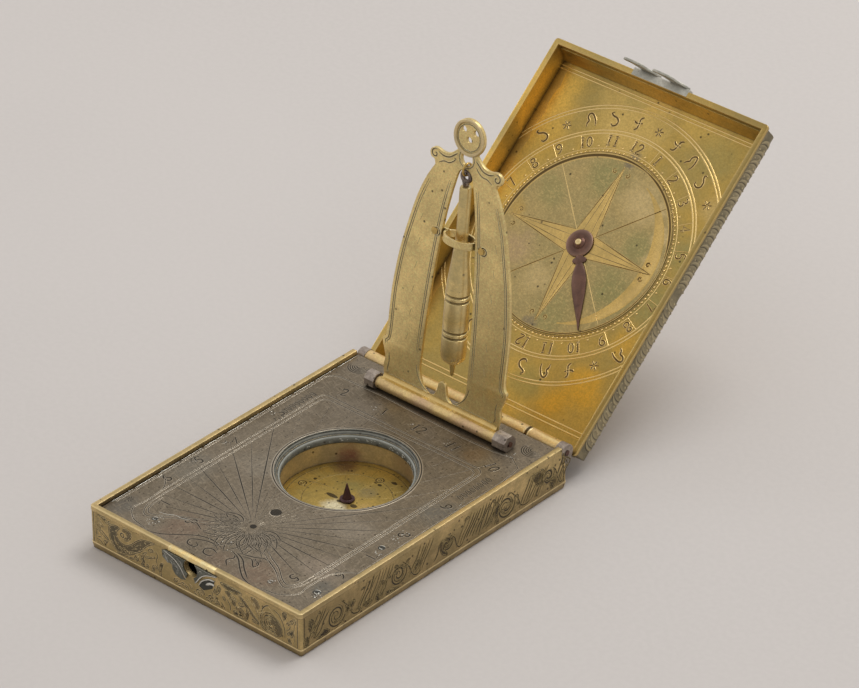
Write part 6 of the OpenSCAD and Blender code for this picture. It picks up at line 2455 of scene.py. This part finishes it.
    def parallel(self, points: Sequence[Point2], gap: float) -> list[Point2]:
        """Line beside another.

        Args:
            points: The first line.
            gap: How far to its right, negative for its left.

        Returns:
            The second line.
        """
        out = []
        for i, (x, y) in enumerate(points):
            ax, ay = points[max(0, i - 1)]
            bx, by = points[min(len(points) - 1, i + 1)]
            size = hypot(bx - ax, by - ay) or 1
            out.append((x + gap * (by - ay) / size, y - gap * (bx - ax) / size))
        return out

    def build(self) -> None:
        """Builds the leaf and its work."""
        self.leaf()
        self.foot()
        self.crest()
        self.lines()


@dataclass
class Plummet:
    """The turned plummet."""

    tip_h: float = 6.1
    r: float = 2.4
    body_h: float = 17.3
    neck_r: float = 1.15
    keeper_h: float = 34.2
    top_h: float = 44.96
    steps: int = 64

    def build(self) -> None:
        """Turns the body with its grooves, rounded arrises, cone and neck."""
        raw = path("0,0 0.11,0 0.145,0.01 0.17,0.05 0.235,0.14 0.3,0.149 0.47,0.155 0.5,0.164 0.47,0.174 0.55,0.18 "
            "0.8,0.19 0.94,0.215 0.985,0.25 1,0.2832 1,0.474 0.9083,0.4827 0.9083,0.5 1,0.5087 1,0.5376 "
            "0.9083,0.5462 0.9083,0.5636 1,0.5723 1,0.6936 0.975,0.9017 0.8833,0.9104 0.8833,0.9277 0.975,0.9364 "
            "0.975,0.9653 0.8833,0.974 0.8833,0.9913")
        body = [(q * self.r, self.tip_h + t * self.body_h) for q, t in raw]
        top = self.tip_h + self.body_h
        cone_top = self.keeper_h - 0.8
        neck = self.keeper_h + 0.9
        cone = path("0.92,0 0.8,0.22 0.56,0.47 0.344,0.69 0.184,0.89 0.048,1")
        body += [(self.neck_r + q * (self.r - self.neck_r), top + t * (cone_top - top)) for q, t in cone]
        body += [(self.neck_r, neck), (self.neck_r - 0.05, self.top_h - 0.5),
            (self.neck_r - 0.2, self.top_h - 0.1), (self.neck_r / 2, self.top_h), (0, self.top_h)]
        profile = self._rounded(body)
        maker = MeshMaker()
        rows, cuts, worns = [], [], []
        for q, t, cut, worn in profile:
            q = max(q, 0.004)
            rows.append([HANG @ Vector((x, y, t)) for x, y in circle(0, 0, q, self.steps)])
            cuts.append(cut)
            worns.append(worn)
        maker.loft(rows, caps=True, cuts=cuts, worns=worns)
        maker.piece("plummet_turned", Body.PLUMMET, Slot.GILT, "gilt_plummet", ("plummet_bob",), sharp=38)

    def _rounded(self, body: Sequence[Point2]) -> list[tuple[float, float, float, float]]:
        """Profile with grooves darkened and arrises broken.

        Args:
            body: Radius and height pairs.

        Returns:
            Radius, height, cut and worn of each ring.
        """
        out = []
        for i, (q, t) in enumerate(body):
            before, after = body[max(0, i - 1)], body[min(len(body) - 1, i + 1)]
            body_part = t < self.tip_h + 0.9999 * self.body_h
            groove = 1 if body_part and (q < before[0] - 0.1 and t > 10 or q < after[0] - 0.1 and t > 12) else 0
            worn = 0.6 if not groove and (before[0] < q - 0.1 or after[0] < q - 0.1) and t > 9 else 0
            worn = worn if body_part else 0.3
            out.append((q, t, groove * 0.7, worn))
        return out


# ---- carried pieces


@dataclass
class PlainParts:
    """Finishes of the CAD nodes that keep their own shape."""

    finish: dict[str, str] = field(default_factory=lambda: {"case_floor": "gilt_ground",
        "plate_ledge_left": "bowl_brass", "plate_ledge_right": "bowl_brass", "hour_plate": "silver_plate",
        "well_lip": "grey_seat", "compass_bowl": "bowl_brass", "compass_card": "card_gilt",
        "needle_pivot": "plum_steel", "frame_lug_left": "silver_worn", "frame_lug_right": "silver_worn",
        "frame_pin": "dark_steel", "case_knuckle_left": "rosy_gilt", "case_knuckle_mid": "rosy_gilt",
        "case_knuckle_right": "rosy_gilt", "hinge_ear_left": "silver_worn", "hinge_ear_right": "silver_worn",
        "hinge_pin": "dark_steel", "lid_cover": "gilt_case", "dial_plate": "gilt_lid",
        "lid_edge_strip": "gilt_lid", "lid_knuckle_left": "rosy_gilt", "lid_knuckle_right": "rosy_gilt",
        "dial_arbor": "dark_steel", "dial_disc": "gilt_disc", "frame_barrel": "rosy_gilt",
        "keeper_loop": "pale_gilt", "keeper_rivet_left": "gilt_bright", "keeper_rivet_right": "gilt_bright",
        "plummet_link": "gilt_bright", "plummet_eye": "steel_eye"})

    def build(self) -> None:
        """Gives each node its finish in every material slot."""
        for node, name in self.finish.items():
            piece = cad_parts[node]
            metal = metal_of(name)
            if not piece.material_slots:
                piece.data.materials.append(metal)
            for spot in piece.material_slots:
                spot.material = metal
            LOG.info("%s: %s", node, name)


def main() -> None:
    """Builds camera and light, then every sub-assembly in order."""
    Studio().build()
    for part in (CaseShell(), HingeBands(), HourPlate(), Well(), LidShell(), Clasp(), DialDisc(), Pointer(),
            PlummetFrame(), Plummet(), PlainParts()):
        LOG.info("-- %s", type(part).__name__)
        part.build()


if __name__ == "__main__":
    main()
